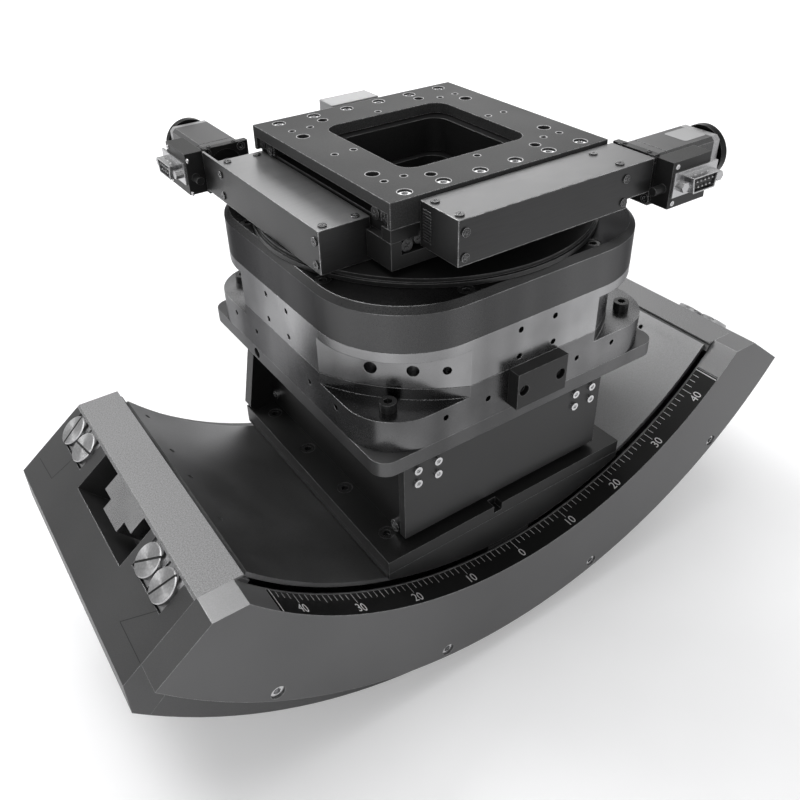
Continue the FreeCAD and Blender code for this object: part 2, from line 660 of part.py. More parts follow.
def build_housing():
    block = box("housing_block", ("2 * adapter_half", "2 * adapter_half",
                "level_disc - level_rotary"), ("-adapter_half", "-adapter_half", "level_rotary"))
    block = rounded("housing_round", block, s.rotary_radius)
    doc.recompute()
    top = [n for n, e in enumerate(block.Shape.Edges, 1)
           if min(v.Z for v in e.Vertexes) > s.level_disc - 0.01]
    bevel = doc.addObject("Part::Chamfer", "housing_bevel")
    bevel.Base = block
    bevel.Edges = [(n, s.rotary_chamfer, s.rotary_chamfer) for n in top]
    well = Part.makeCylinder(s.wheel_radius + 1, 30, Vector(0, 0, s.wheel_low - 1))
    bore = Part.makeCylinder(s.bore_radius + 6, 40, Vector(0, 0, s.level_rotary - 1))
    worm = Part.makeCylinder(s.worm_radius + 0.6, 90, Vector(s.worm_x, -45, s.worm_level),
                             Vector(0, 1, 0))
    exit_ = Part.makeCylinder(s.shaft_radius + 0.3, 140, Vector(s.worm_x, -40, s.worm_level),
                              Vector(0, 1, 0))
    return drill("rotary_housing", bevel, well, bore, worm, exit_,
                 pins(housing_spots(s.level_disc - 3.2), "z", 4.0, 6),
                 pins(housing_spots(s.level_disc - 12), "z", 2.1, 12))


def build_lift_top():
    build_lift_table()
    build_housing()
    screws("housing_screws", [("z", housing_spots(s.level_disc - 3.2))], 3.7, 3.0, 2.0, 8)
    small_motor("rotary_motor", s.worm_x, s.adapter_half, s.worm_level, s.rotary_motor_long)
    shaft_and_knob("rotary_worm", s.worm_x, -s.worm_half,
                   s.adapter_half + s.rotary_motor_long + 1, s.worm_level,
                   s.worm_half, s.worm_radius)
    thread = Part.makeCylinder(8, 34, Vector(0, 0, s.level_base + 4.5))
    solid("lift_screw", thread)


# rotary table and slides

def build_disc():
    z = s.level_disc + s.disc_gap
    rim = Part.makeCylinder(s.rim_radius, s.rim_height, Vector(0, 0, z))
    top = Part.makeCylinder(s.disc_radius, s.disc_height, Vector(0, 0, z))
    hub = Part.makeCylinder(s.hub_radius, s.level_lower - z, Vector(0, 0, z))
    wheel = Part.makeCylinder(s.wheel_radius, z - s.wheel_low, Vector(0, 0, s.wheel_low))
    bore = Part.makeCylinder(s.bore_radius, 60, Vector(0, 0, s.wheel_low - 5))
    solid("rotary_disc", rim.fuse([top, hub, wheel]).cut(bore))


def window(half, z0, z1):
    block = Part.makeBox(2 * half, 2 * half, z1 - z0, Vector(-half, -half, z0))
    edges = [e for e in block.Edges if abs(e.Vertexes[0].Z - e.Vertexes[1].Z) > 0.1]
    return block.makeFillet(s.aperture_radius, edges)


def build_lower_block():
    half = s.plate_half
    low, high = s.level_lower, s.level_middle
    deep = high - s.channel_height
    block = box("lower_plain", ("2 * plate_half", "2 * plate_half", "level_middle - level_lower"),
                ("-plate_half", "-plate_half", "level_lower"))
    channel = Part.makeBox(2 * s.channel_half, 2 * half + 2, 20,
                           Vector(-s.channel_half, -half - 1, deep))
    front = Part.makeBox(2 * half, s.slide_travel + 2.5, 20,
                         Vector(s.x_cover_start - 1.2, -half - 1, high - 6))
    side = Part.makeBox(10, 2 * half, 30, Vector(-s.side_step - 10, s.y_cover_start - 1, low - 1))
    return drill("lower_block", block, channel, front, side, window(s.aperture_lower, low - 1, high))


def slide_rail(centre, start, end, z, along):
    wide, tall = s.slide_rail, s.slide_rail_height
    if along == "y":
        return Part.makeBox(wide, end - start, tall, Vector(centre - wide / 2, start, z))
    return Part.makeBox(end - start, wide, tall, Vector(start, centre - wide / 2, z))


def end_screw(spot, axis):
    head = Part.makeCylinder(3.1, 1.2)
    for angle in (0, 90):
        slot = Part.makeBox(3.4, 0.6, 1.0, Vector(-1.7, -0.3, 0.6))
        slot.rotate(Vector(), Vector(0, 0, 1), angle + 30)
        head = head.cut(slot)
    head.Placement = Placement(Vector(*spot), FACE[axis])
    return head


def build_lower_rails():
    half = s.plate_half - 2.5
    z = s.level_middle - s.channel_height
    short = s.slide_travel - s.plate_half + 2.5
    left = slide_rail(-s.rail_out, -half, half, z, "y")
    right = slide_rail(s.rail_out, short, half, z, "y")
    solid("lower_rails", Part.makeCompound([
        left.fuse(end_screw((-s.rail_out, -half, z + 3.1), "-y")),
        right.fuse(end_screw((s.rail_out, half, z + 3.1), "y"))]))


def build_middle_plate():
    half = s.plate_half
    low, high = s.level_middle, s.level_top
    plate = box("middle_block", ("2 * plate_half", "2 * plate_half", "level_top - level_middle"),
                ("-plate_half", "-plate_half", "level_middle"))
    pad = s.channel_height - s.slide_gap
    upper = Part.makeBox(2 * half - 20, 2 * s.pad_half, pad,
                         Vector(10 - half, -s.pad_half, high))
    under = Part.makeBox(2 * s.pad_half, 2 * half - 20, pad,
                         Vector(-s.pad_half, 10 - half, low - pad))
    body = fuse("middle_pads", plate, solid("middle_upper", upper), solid("middle_under", under))
    side = Part.makeBox(10, 2 * half, 30,
                        Vector(-s.side_step - 10, s.y_cover_start - s.slide_travel - 1.5, low - 1))
    return drill("middle_plate", body, side, window(s.aperture_middle, low - 10, high + 10))


def build_middle_rails():
    half = s.plate_half - 2.5
    low = s.level_middle - s.slide_rail_height
    high = s.level_top
    shapes = []
    for sign in (-1, 1):
        rail = slide_rail(sign * s.rail_in, -half + 2, half - 2, low, "y")
        shapes.append(rail.fuse(end_screw((sign * s.rail_in, -half + 2, low + 3), "-y")))
        rail = slide_rail(sign * s.upper_in, -half, half, high, "x")
        shapes.append(rail.fuse(end_screw((-half, sign * s.upper_in, high + 3), "-x")))
    solid("middle_rails", Part.makeCompound(shapes))


def build_top_plate():
    half = s.plate_half
    low, high = s.level_top, s.level_face
    block = box("top_block", ("2 * plate_half", "2 * plate_half", "level_face - level_top"),
                ("-plate_half", "-plate_half", "level_top"))
    side = s.upper_out + s.slide_rail / 2
    channel = Part.makeBox(2 * half + 2, 2 * side, s.channel_height + 5,
                           Vector(-half - 1, -side, low - 5))
    rows = top_screw_rows()
    large = grid(s.large_x, s.large_y, high - 20)
    medium = grid(s.medium_x, s.medium_y, high - 20)
    outer, inner, row = s.small_outer, s.small_inner, s.small_y
    small = [(x, y, high - 20) for x in (-outer, -inner, inner, outer) for y in (-row, 0, row)]
    small += [(0, -row, high - 20), (0, row, high - 20)]
    return drill("top_plate", block, channel, window(s.aperture_top, low - 1, high + 1),
                 pins(rows, "z", 3.3, 4), pins([(x, y, high - 8) for x, y, z in rows], "z", 1.6, 9),
                 pins(large, "z", 3.2, 22), pins(medium, "z", 2.6, 22), pins(small, "z", 1.6, 22))


def build_top_rails():
    half = s.plate_half - 2.5
    z = s.level_top + 0.9
    shapes = []
    for sign in (-1, 1):
        rail = slide_rail(sign * s.upper_out, -half, half, z, "x")
        shapes.append(rail.fuse(end_screw((-half, sign * s.upper_out, z + 3), "-x")))
    holes = pins([(x, y, z + s.slide_rail_height - 3) for x, y, top in top_screw_rows()],
                 "z", 1.6, 4)
    solid("top_rails", Part.makeCompound([piece.cut(holes) for piece in shapes]))


def top_screw_rows():
    return [((k - 2.5) * s.top_screw_pitch, y, s.level_face - 2.6) for k in range(6)
            for y in (-s.top_screw_y, s.top_screw_y)]


# outboard drives, modelled along +X, then mirrored for the other slide

class Unit:
    def __init__(self, tag, span, side, near, top, panel, far, step):
        self.tag, self.side, self.near, self.top = tag, side, near, top
        self.start, self.end = span
        self.panel, self.far, self.step = panel, far, step
        self.axis_y = -(side + s.cover_wide / 2)
        self.axis_z = top - s.cover_tall / 2 - 1.3
        self.bracket = self.end + 1.6

    def put(self, name, shape):
        if self.tag == "y_":
            shape = shape.mirror(Vector(), Vector(1, -1, 0))
        solid(self.tag + name, shape)


def unit_cover(u):
    wide, tall = s.cover_wide, s.cover_tall
    y0, z0 = -(u.side + wide), u.top - tall
    shell = Part.makeBox(u.end - u.start, wide, tall, Vector(u.start, y0, z0))
    room = Part.makeBox(u.end - u.start + 2, wide - s.sheet + 2, tall - s.sheet + 2,
                        Vector(u.start + s.sheet, y0 + s.sheet, z0 - 2))
    beyond = Part.makeBox(u.end - u.panel + 1, wide, tall + 2,
                          Vector(u.panel, y0 + s.sheet, z0 - 1))
    raised = Part.makeBox(u.end - u.step + 1, wide + 2, s.cover_step + 1,
                          Vector(u.step, y0 - 1, z0 - 1))
    shell = shell.cut(room).cut(beyond).cut(raised)
    spots = [(x, y, u.top - 4) for x in (u.start + 4, u.far) for y in (y0 + 4.5, y0 + wide - 5.5)]
    front = [(x, y0 - 1, u.top - z) for x in (u.start + 3.6, u.far + 0.4) for z in (6, 17.7)
             if z < 10 or x < u.step]
    u.put("drive_cover", shell.cut(pins(spots, "z", 1.3, 6)).cut(pins(front, "y", 1.3, 4)))
    heads = [end_cap((x, y, u.top), "z") for x, y, z in spots]
    heads += [end_cap((x, y0, z), "-y") for x, y, z in front]
    for spot in bracket_spots(u, u.bracket + 2):
        piece = Part.makeCylinder(2.2, 2.0).cut(hexagon(1.3, 1.2).translated(Vector(0, 0, 2.01)))
        piece.Placement = Placement(Vector(*spot), FACE["-x"])
        heads.append(piece)
    u.put("cover_screws", Part.makeCompound(heads))


def end_cap(spot, axis):
    head = Part.makeCylinder(2.1, 0.7).fuse(Part.makeCylinder(1.2, 1.1, Vector(0, 0, -1.1)))
    for angle in (0, 90):
        slot = Part.makeBox(2.4, 0.5, 1.0, Vector(-1.2, -0.25, 0.3))
        slot.rotate(Vector(), Vector(0, 0, 1), angle + 20)
        head = head.cut(slot)
    head.Placement = Placement(Vector(*spot), FACE[axis])
    return head


def unit_bracket(u):
    # end plate for the motor, a rib that joins the unit to its slide, a strut between them
    x = u.bracket
    axis = Vector(x - 1, u.axis_y, u.axis_z)
    plate = Part.makeBox(s.bracket_sheet, s.motor_half + s.bracket_in, s.bracket_tall,
                         Vector(x, u.axis_y - s.motor_half, u.top + 0.5 - s.bracket_tall))
    plate = plate.cut(pins(bracket_spots(u, x - 1), "x", 2.4, 3))
    bore = Part.makeCylinder(s.bracket_bore, 3, axis, Vector(1, 0, 0))
    hole = Part.makeCylinder(s.screw_radius + 0.4, 10, axis, Vector(1, 0, 0))
    deep = u.side + 6
    low, tall = u.top - s.rib_low, s.rib_low - s.rib_top
    stop = min(u.panel, s.plate_half) - 1
    rib = Part.makeBox(stop - u.start - 3, deep - u.near, tall, Vector(u.start + 3, -deep, low))
    strut = Part.makeBox(x + 0.01 - stop + 4, 4, tall, Vector(stop - 4, -deep, low))
    u.put("drive_bracket", plate.cut(bore).cut(hole).fuse([rib, strut]))


def bracket_spots(u, x):
    step = s.bracket_screw
    return [(x, u.axis_y + a, u.axis_z + b) for a in (-step, step) for b in (-step, step)]


def unit_nut(u):
    # travelling nut on the lead screw, its arm screwed to the side of the moving plate
    half = s.nut_radius
    arm = Part.makeBox(2 * half, half - u.axis_y - u.near, 5.5,
                       Vector(-half, u.axis_y - half, u.top - 7))
    ring = Part.makeCylinder(half, 2 * half, Vector(-half, u.axis_y, u.axis_z), Vector(1, 0, 0))
    bore = Part.makeCylinder(s.screw_radius + 0.08, 4 * half,
                             Vector(-2 * half, u.axis_y, u.axis_z), Vector(1, 0, 0))
    u.put("lead_nut", arm.fuse(ring).cut(bore))


def unit_motor(u):
    half = s.motor_half
    c = 2.0
    x = u.bracket + s.bracket_sheet
    ring = [(half, half - c), (half - c, half), (c - half, half), (-half, half - c),
            (-half, c - half), (c - half, -half), (half - c, -half), (half, c - half)]
    body = prism([Vector(x, u.axis_y + a, u.axis_z + b) for a, b in ring],
                 Vector(s.motor_long, 0, 0))
    groove = prism([Vector(x + s.motor_flange, u.axis_y + a * 1.2, u.axis_z + b * 1.2)
                    for a, b in ring], Vector(0.8, 0, 0))
    inner = prism([Vector(x + s.motor_flange, u.axis_y + a * 0.95, u.axis_z + b * 0.95)
                   for a, b in ring], Vector(0.8, 0, 0))
    bore = Part.makeCylinder(s.screw_radius + 0.4, s.motor_long + 2,
                             Vector(x - 1, u.axis_y, u.axis_z), Vector(1, 0, 0))
    u.put("motor", body.cut(groove.cut(inner)).cut(bore))


def unit_plug_box(u):
    x = u.bracket + s.box_start
    y1 = u.axis_y - s.motor_half
    top = u.top - 0.7
    body = Part.makeBox(s.box_long, s.box_deep, s.box_tall,
                        Vector(x, y1 - s.box_deep, top - s.box_tall))
    gland = Part.makeCylinder(2.2, 8, Vector(x - 7, y1 - 6, top - 14), Vector(1, 0, 0))
    u.put("plug_box", body.fuse(gland))
    plug_shapes(u, x + s.box_offset, y1 - s.box_deep, u.top - s.plug_drop)


def plug_shapes(u, x, y, z):
    flange = Part.makeBox(s.plug_long, 1.2, s.plug_tall,
                          Vector(x - s.plug_long / 2, y - 1.2, z - s.plug_tall / 2))
    shell = [(-9.2, 4.0), (9.2, 4.0), (7.8, -4.0), (-7.8, -4.0)]
    outer = prism([Vector(x + a, y - 1.2, z + b) for a, b in shell], Vector(0, -5.8, 0))
    inner = prism([Vector(x + a * 0.92, y - 2.4, z + b * 0.86) for a, b in shell],
                  Vector(0, -5.8, 0))
    core = prism([Vector(x + a * 0.84, y - 2.4, z + b * 0.7) for a, b in shell],
                 Vector(0, -3.0, 0))
    posts = []
    for sign in (-1, 1):
        post = hexagon(2.6, -4.6)
        post.Placement = Placement(Vector(x + sign * 12.5, y - 1.2, z), FACE["-y"])
        posts.append(post)
    u.put("plug", flange.fuse([outer.cut(inner), core] + posts))


def unit_screw(u):
    x0 = u.start + 10
    x1 = u.bracket + s.bracket_sheet + s.motor_long + 1.5
    turn = Vector(1, 0, 0)
    shaft = Part.makeCylinder(s.screw_radius, x1 - x0, Vector(x0, u.axis_y, u.axis_z), turn)
    knob = Part.makeCylinder(s.knob_radius, s.knob_thick, Vector(x1, u.axis_y, u.axis_z), turn)
    neck = Part.makeCylinder(5.5, 9, Vector(u.bracket - 10.5, u.axis_y, u.axis_z), turn)
    u.put("lead_screw", shaft.fuse([knob, neck]))


def build_unit(u):
    unit_cover(u)
    unit_bracket(u)
    unit_nut(u)
    unit_motor(u)
    unit_plug_box(u)
    unit_screw(u)


def build_limit_box():
    low = s.limit_top - s.limit_tall
    body = Part.makeBox(s.limit_wide, s.limit_deep, s.limit_tall,
                        Vector(s.limit_x, s.limit_near, low))
    margin = 5.0
    tab = Part.makeBox(s.limit_wide - 2 * margin, s.limit_near - s.plate_half, 5.6,
                       Vector(s.limit_x + margin, s.plate_half, s.level_middle + 0.3))
    solid("limit_box", body.fuse(tab))


def build_slides():
    build_disc()
    build_lower_block()
    build_lower_rails()
    build_middle_plate()
    build_middle_rails()
    build_top_plate()
    build_top_rails()
    screws("top_plate_screws", [("z", top_screw_rows())], 3.1, 1.9, 1.5, 5)
    build_unit(Unit("x_", (s.x_cover_start, s.x_cover_end), s.x_side, s.plate_half,
                    s.x_cover_top, s.x_panel_end, s.x_far_screw, s.cover_step_start))
    build_unit(Unit("y_", (s.y_cover_start, s.y_cover_end), s.y_side, s.side_step,
                    s.y_cover_top, s.y_panel_end, s.y_far_screw, s.y_cover_end))
    build_limit_box()


NODES = (
    "arc_body end_plate_left end_plate_right scale_ring scale_strip arc_cover land_bar_left "
    "land_bar_right guide_rails rail_end_screws gear_sector ring_screws saddle guide_shoes "
    "flange_plate pedestal_box front_plate back_plate adapter_plate lift_base lift_stop_block "
    "swivel_motor swivel_shaft lift_motor lift_shaft flange_screws front_plate_screws "
    "side_screws lift_base_screws lift_table rotary_housing housing_screws rotary_motor "
    "rotary_worm lift_screw rotary_disc lower_block lower_rails middle_plate middle_rails "
    "top_plate top_rails top_plate_screws limit_box x_drive_cover x_cover_screws "
    "x_drive_bracket x_motor x_plug_box x_plug x_lead_screw x_lead_nut y_drive_cover "
    "y_cover_screws y_drive_bracket y_motor y_plug_box y_plug y_lead_screw y_lead_nut").split()


def write_parts():
    os.makedirs("parts", exist_ok=True)
    doc.recompute()
    for item in doc.Objects:
        if "Invalid" in item.State or "Error" in item.State:
            raise RuntimeError("failed object: " + item.Name)
    for name in NODES:
        item = doc.getObject(name)
        if item.Shape.isNull() or not item.Shape.isValid():
            raise RuntimeError("bad shape: " + name)
    for name in NODES:
        item = doc.getObject(name)
        item.Label = name
        item.Shape.exportStep("parts/%s.step" % name)


build_base()
build_carriage()
build_lift_top()
build_slides()
write_parts()
print("OK", len(NODES))
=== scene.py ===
import json
import math
import bpy
import bmesh
from mathutils import Matrix, Vector


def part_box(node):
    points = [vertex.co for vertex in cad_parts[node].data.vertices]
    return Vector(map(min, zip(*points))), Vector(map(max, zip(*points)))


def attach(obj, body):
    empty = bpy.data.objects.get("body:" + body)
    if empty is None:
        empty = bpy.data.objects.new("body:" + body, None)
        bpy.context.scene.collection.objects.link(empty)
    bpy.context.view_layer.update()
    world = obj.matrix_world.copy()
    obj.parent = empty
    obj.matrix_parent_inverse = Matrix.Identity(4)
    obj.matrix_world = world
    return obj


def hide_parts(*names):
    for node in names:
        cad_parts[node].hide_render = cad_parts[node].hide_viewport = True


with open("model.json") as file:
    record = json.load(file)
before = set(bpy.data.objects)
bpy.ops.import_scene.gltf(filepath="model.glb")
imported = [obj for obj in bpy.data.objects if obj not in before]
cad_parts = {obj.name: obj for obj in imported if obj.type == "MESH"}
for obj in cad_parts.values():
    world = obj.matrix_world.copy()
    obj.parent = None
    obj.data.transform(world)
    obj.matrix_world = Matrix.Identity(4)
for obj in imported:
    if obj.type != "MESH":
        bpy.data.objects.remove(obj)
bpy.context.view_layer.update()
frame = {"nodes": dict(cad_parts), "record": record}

# all lengths below are in mm, apart from those of the floor, the room and the lamps
MM = 0.001

# how far a small piece reaches into what it sits on
SUNK = 0.1

# camera, fitted to the photograph, which is IMAGE pixels wide and high
IMAGE = 800
CAMERA_PLACE = (-242.5, -335.4, 430.4)
CAMERA_TURN = 33.94
CAMERA_TILT = 33.43
CAMERA_ROLL = -1.35
FOCAL_PIXELS = 824.6
CENTRE_X = 402.0
CENTRE_Y = 350.6
SENSOR = 36.0
CLIP_START = 0.01

# where pieces change their finish: the ring's bare tips and its inner face past the scale,
# the start of each knob, and the bright flange between motor and bracket
RING_TIPS = 143.8
RING_PAST_SCALE = 128.0
X_KNOB = 118.4
Y_KNOB = 133.4
BACK_KNOB = 123.9
X_FLANGE = (112.6, 117.2)
Y_FLANGE = (128.6, 132.2)

# how much the roughness of every finish swings
ROUGH_SWING = 0.05

# swivel scale, drawn on the inner face of the scale ring
AXIS_HEIGHT = 285.0
SCALE_RADIUS = 217.9
SCALE_BACK = -84.8
TICK_LONG = 6.9
TICK_MIDDLE = 5.4
TICK_SHORT = 4.2
TICK_WIDE = 0.28
SCALE_LAST = 43
SCALE_END = 44.0
END_TICK = (0.5, 14.8)
NUMBER_Y = -95.4
NUMBER_HIGH = 5.6
NUMBER_STEP = 10
NUMBER_LAST = 40
NUMBER_WIDE = 0.82
FONT_SIZE = NUMBER_HIGH * 1.4

# sub-D plugs: nine pins in two rows, and two hollow posts; profiles are (radius, height)
PIN_STEP = 2.77
PIN_ROW = 1.42
PIN_RADIUS = 0.5
PIN_LONG = 1.5
PIN_TIP = 0.3
PLUG_CORE_BACK = 1.6
PLUG_CORE_THICK = 0.3
PLUG_CORE = [(-7.5, 2.6), (7.5, 2.6), (6.4, -2.6), (-6.4, -2.6)]
PLUG_POST = 12.5
# a black disc deep in each post's hole, as painted shade
POST_HOLE_SHADE = [(1.3, -2.6), (1.3, -2.25)]
DIMPLE_STEP = 4.6
DIMPLE_PLACE = (4.0, -3.0)
DIMPLE = [(0.9, -0.05), (0.7, 0.25), (0.25, 0.4)]

# blank label on the X motor
LABEL_LOW = (96.5, -87.0)
LABEL_SIZE = (16.0, 14.0)
LABEL_CORNER = 1.6
LABEL_FILM = (-0.02, 0.1)

# joint lines on the end faces, as (distance from the swivel axis, y)
END_ANGLE = 52.5
END_SEAMS = {
    "back": [(268.4, 83.8), (267.5, 61.6), (250.6, 58.1)],
    "front": [(269.0, -82.3), (268.9, -55.5), (250.0, -70.0)],
}
SEAM_WIDE = 0.35
SEAM_HIGH = 0.03

# slotted discs on the ends of the guide rails: y, and the slot's turn from the radial direction
DISC_ANGLE = 52.2
DISC_PLACE = 241.5
DISC_RADIUS = 8.6
DISC_HIGH = 3.6
DISC_CHAMFER = 0.5
DISC_SIDES = 48
SLOT_WIDE = 1.2
SLOT_DEEP = 1.0
SLOT_SHOWN = 0.35
RAIL_DISCS = [(-63.5, 20), (-45.0, 43), (55.0, 81), (73.5, -10)]

# ribbed strip on the end of the X cover
RIB_STEP = 1.45
RIB_COUNT = 11
RIB_START = (2.4, 3.2)
RIB_WIDE = 5.8
RIB_THICK = 0.7
RIB_HIGH = 0.3

# screws on the motor brackets and plug boxes: a point of each face, and places on it
X_BRACKET_FACE = (70.1, 0, 290.0)
Y_BRACKET_FACE = (0, 85.1, 277.5)
X_BOX_FACE = (0, -102.4, 0)
Y_BOX_FACE = (-97.9, 0, 0)
X_BRACKET_SCREWS = [(0, -71.6), (0, -87.0)]
Y_BRACKET_SCREWS = [(-83.4, 0), (-68.9, 0)]
X_BOX_SCREWS = [(73.0, 286.3), (73.0, 267.9)]
Y_BOX_SCREWS = [(a, b) for a in (-109.2, -81.0) for b in (273.9, 255.3)]
BRACKET_SCREW = 1.3
BOX_SCREW = 1.35
SCREW_HIGH = 0.5

# chamfers round the holes of the top plate, drawn as bright rings of painted highlight: radius,
# then the holes' places
PLATE_HALF = 65.0
TOP_RIM = 0.42
RIM_PLAY = 0.02
RIM_SUNK = 0.15
RIM_HEIGHTS = (0.01, 0.03)
LARGE_X = PLATE_HALF - 12.4
LARGE_Y = 32.4
MEDIUM_X = 31.6
MEDIUM_Y = PLATE_HALF - 16.2
SMALL_OUT = PLATE_HALF - 11.8
SMALL_IN = PLATE_HALF - 22.5
SMALL_Y = 43.0
SCREW_STEP = 21.1
SCREW_Y = PLATE_HALF - 6.6
TOP_ROWS = [
    (3.2, [(x, y) for x in (-LARGE_X, LARGE_X) for y in (-LARGE_Y, LARGE_Y)]),
    (2.6, [(x, y) for x in (-MEDIUM_X, MEDIUM_X) for y in (-MEDIUM_Y, MEDIUM_Y)]),
    (1.6, [(x, y) for x in (-SMALL_OUT, -SMALL_IN, SMALL_IN, SMALL_OUT)
           for y in (-SMALL_Y, 0, SMALL_Y)] + [(0, -SMALL_Y), (0, SMALL_Y)]),
    (3.3, [((k - 2.5) * SCREW_STEP, y) for k in range(6) for y in (-SCREW_Y, SCREW_Y)]),
]

# floor and room: each glow is given at two distances from the object, or at two directions
FLOOR_HALF = 6.0
FLOOR_TONES = (0.86, 0.88)
FLOOR_REACH = (0.45, 1.7)
FLOOR_SEEN = (0.2, 0.66)
FLOOR_MIRRORED = 0.14
ROOM_DIFFUSE = 0.42
ROOM_RISE = (0.8, 0.1)
ROOM_MIRRORED = (0.35, 0.75)
ROOM_SIDES = (0.6, 1.3)

# lamps: place, target, size and power
MIDDLE = (0, 0, 0.15)
LAMPS = {
    "top": ((-0.1, 0.1, 1.6), MIDDLE, (1.2, 1.2), 11.0),
    "key_left": ((-1.1, -0.9, 0.9), MIDDLE, (0.8, 0.8), 3.5),
    "back_right": ((0.9, 1.2, 0.9), MIDDLE, (0.9, 0.7), 4.0),
    "back_left": ((-0.8, 1.3, 1.1), MIDDLE, (0.9, 0.8), 1.0),
    "over_back": ((-0.4, 0.95, 1.4), (0.1, 0, 0.1), (0.6, 0.6), 9.0),
    "front_right": ((0.9, -1.3, 0.7), MIDDLE, (0.8, 0.8), 2.5),
}


# materials

class Shade:
    """A material's node tree, with short calls for the few nodes that are used here."""

    def __init__(self, name):
        self.material = bpy.data.materials.new(name)
        self.material.use_nodes = True
        self.nodes = self.material.node_tree.nodes
        self.link = self.material.node_tree.links.new
        self.shader = self.nodes["Principled BSDF"]
        own = self.nodes.new("ShaderNodeTexCoord").outputs
        self.place = own["Object"]
        self.normal = own["Normal"]

    def noise(self, scale, detail=2.0, stretch=(1, 1, 1)):
        mapping = self.nodes.new("ShaderNodeMapping")
        mapping.inputs["Scale"].default_value = stretch
        self.link(self.place, mapping.inputs["Vector"])
        node = self.nodes.new("ShaderNodeTexNoise")
        node.inputs["Scale"].default_value = scale
        node.inputs["Detail"].default_value = detail
        self.link(mapping.outputs["Vector"], node.inputs["Vector"])
        return node.outputs["Fac"]

    def remap(self, value, low, high, to_low, to_high):
        node = self.nodes.new("ShaderNodeMapRange")
        for key, number in (("From Min", low), ("From Max", high),
                            ("To Min", to_low), ("To Max", to_high)):
            node.inputs[key].default_value = number
        self.link(value, node.inputs["Value"])
        return node.outputs["Result"]

    def math(self, kind, a, b):
        node = self.nodes.new("ShaderNodeMath")
        node.operation = kind
        for socket, value in zip(node.inputs, (a, b)):
            if isinstance(value, (int, float)):
                socket.default_value = value
            else:
                self.link(value, socket)
        return node.outputs["Value"]

    def mix(self, share, low, high):
        node = self.nodes.new("ShaderNodeMix")
        node.data_type = "RGBA"
        self.link(share, node.inputs[0])
        for socket, value in ((node.inputs[6], low), (node.inputs[7], high)):
            if isinstance(value, tuple):
                socket.default_value = value
            else:
                self.link(value, socket)
        return node.outputs[2]

    def soft_normal(self, width):
        """The normal with each sharp edge rounded off over a width."""
        bevel = self.nodes.new("ShaderNodeBevel")
        bevel.samples = 4
        bevel.inputs["Radius"].default_value = width
        return bevel.outputs["Normal"]

    def worn_edge(self, soft):
        """1 along the sharp edges of a piece, 0 on its faces: where edges are lightened, partly as
        wear and partly as painted highlight.
        """
        flat = self.nodes.new("ShaderNodeNewGeometry")
        dot = self.nodes.new("ShaderNodeVectorMath")
        dot.operation = "DOT_PRODUCT"
        self.link(soft, dot.inputs[0])
        self.link(flat.outputs["Normal"], dot.inputs[1])
        return self.remap(dot.outputs["Value"], 0.998, 0.94, 0.0, 1.0)

    def bump(self, height, distance, normal=None):
        node = self.nodes.new("ShaderNodeBump")
        node.inputs["Distance"].default_value = distance
        node.inputs["Strength"].default_value = 1.0
        self.link(height, node.inputs["Height"])
        if normal is not None:
            self.link(normal, node.inputs["Normal"])
        return node.outputs["Normal"]


def grey(level):
    """A neutral tone with a trace of blue, as aluminium has."""
    return (level, level, level * 1.01, 1.0)


def metal(name, level, rough, metallic=0.0, specular=0.5, grain=2200.0, speckle=0.12,
          cloud=0.12, cloud_scale=14.0, depth=0.004, stretch=(1, 1, 1), edge=0.0,
          edge_width=0.5, edge_tone=None, bands=0.0, part=None, rings=0.0, grazing=None):
    """Anodised, blasted, brushed or turned metal: grain, slow tone change, and edges lightened
    partly as wear and partly as painted highlight.
    part names another level, and a call that gives where on the piece it is used.
    rings spreads highlights into a fan, as the marks of a lathe do about the piece's z axis.
    grazing dims what the piece mirrors at a flat angle."""
    shade = Shade(name)
    fine = shade.noise(grain, 3.0, stretch)
    slow = shade.noise(cloud_scale, 3.0)
    swing = shade.math("ADD", shade.remap(slow, 0.3, 0.7, 1 - cloud, 1 + cloud),
                       shade.remap(fine, 0.3, 0.7, -speckle, speckle))
    if bands:
        # upright bands, as turned or milled sides show
        upright = shade.noise(26.0, 2.0, (1.0, 1.0, 0.02))
        swing = shade.math("MULTIPLY", swing,
                           shade.remap(upright, 0.35, 0.65, 1 - bands, 1 + bands))
    tone = grey(level)
    if part:
        other, where = part
        tone = shade.mix(where(shade), grey(level), grey(other))
    soft = None
    if edge:
        soft = shade.soft_normal(edge_width * MM)
        scuffs = shade.remap(shade.noise(260.0, 4.0), 0.35, 0.65, 0.35, 1.0)
        wear_and_highlight = shade.math("MULTIPLY", shade.worn_edge(soft), scuffs)
        # the edge tone is bare metal where edges wear, and a painted highlight along every sharp
        # edge
        bare_and_highlight_tone = grey(edge_tone or min(0.8, level * 3 + 0.22))
        tone = shade.mix(shade.math("MULTIPLY", wear_and_highlight, edge), tone, bare_and_highlight_tone)
    scaled = shade.nodes.new("ShaderNodeVectorMath")
    scaled.operation = "SCALE"
    if isinstance(tone, tuple):
        scaled.inputs[0].default_value = tone[:3]
    else:
        shade.link(tone, scaled.inputs[0])
    shade.link(swing, scaled.inputs["Scale"])
    shade.link(scaled.outputs["Vector"], shade.shader.inputs["Base Color"])
    wide = shade.math("ADD", shade.remap(fine, 0.3, 0.7, -ROUGH_SWING, ROUGH_SWING),
                      shade.remap(slow, 0.3, 0.7, rough - ROUGH_SWING, rough + ROUGH_SWING))
    shade.link(wide, shade.shader.inputs["Roughness"])
    shade.shader.inputs["Metallic"].default_value = metallic
    shade.shader.inputs["Specular IOR Level"].default_value = specular
    shade.link(shade.bump(fine, depth * MM, normal=soft), shade.shader.inputs["Normal"])
    if grazing is not None:
        shade.shader.inputs["Specular Tint"].default_value = grey(grazing)
    if rings:
        tangent = shade.nodes.new("ShaderNodeTangent")
        tangent.direction_type = "RADIAL"
        tangent.axis = "Z"
        shade.link(tangent.outputs["Tangent"], shade.shader.inputs["Tangent"])
        shade.shader.inputs["Anisotropic"].default_value = rings
    return shade.material


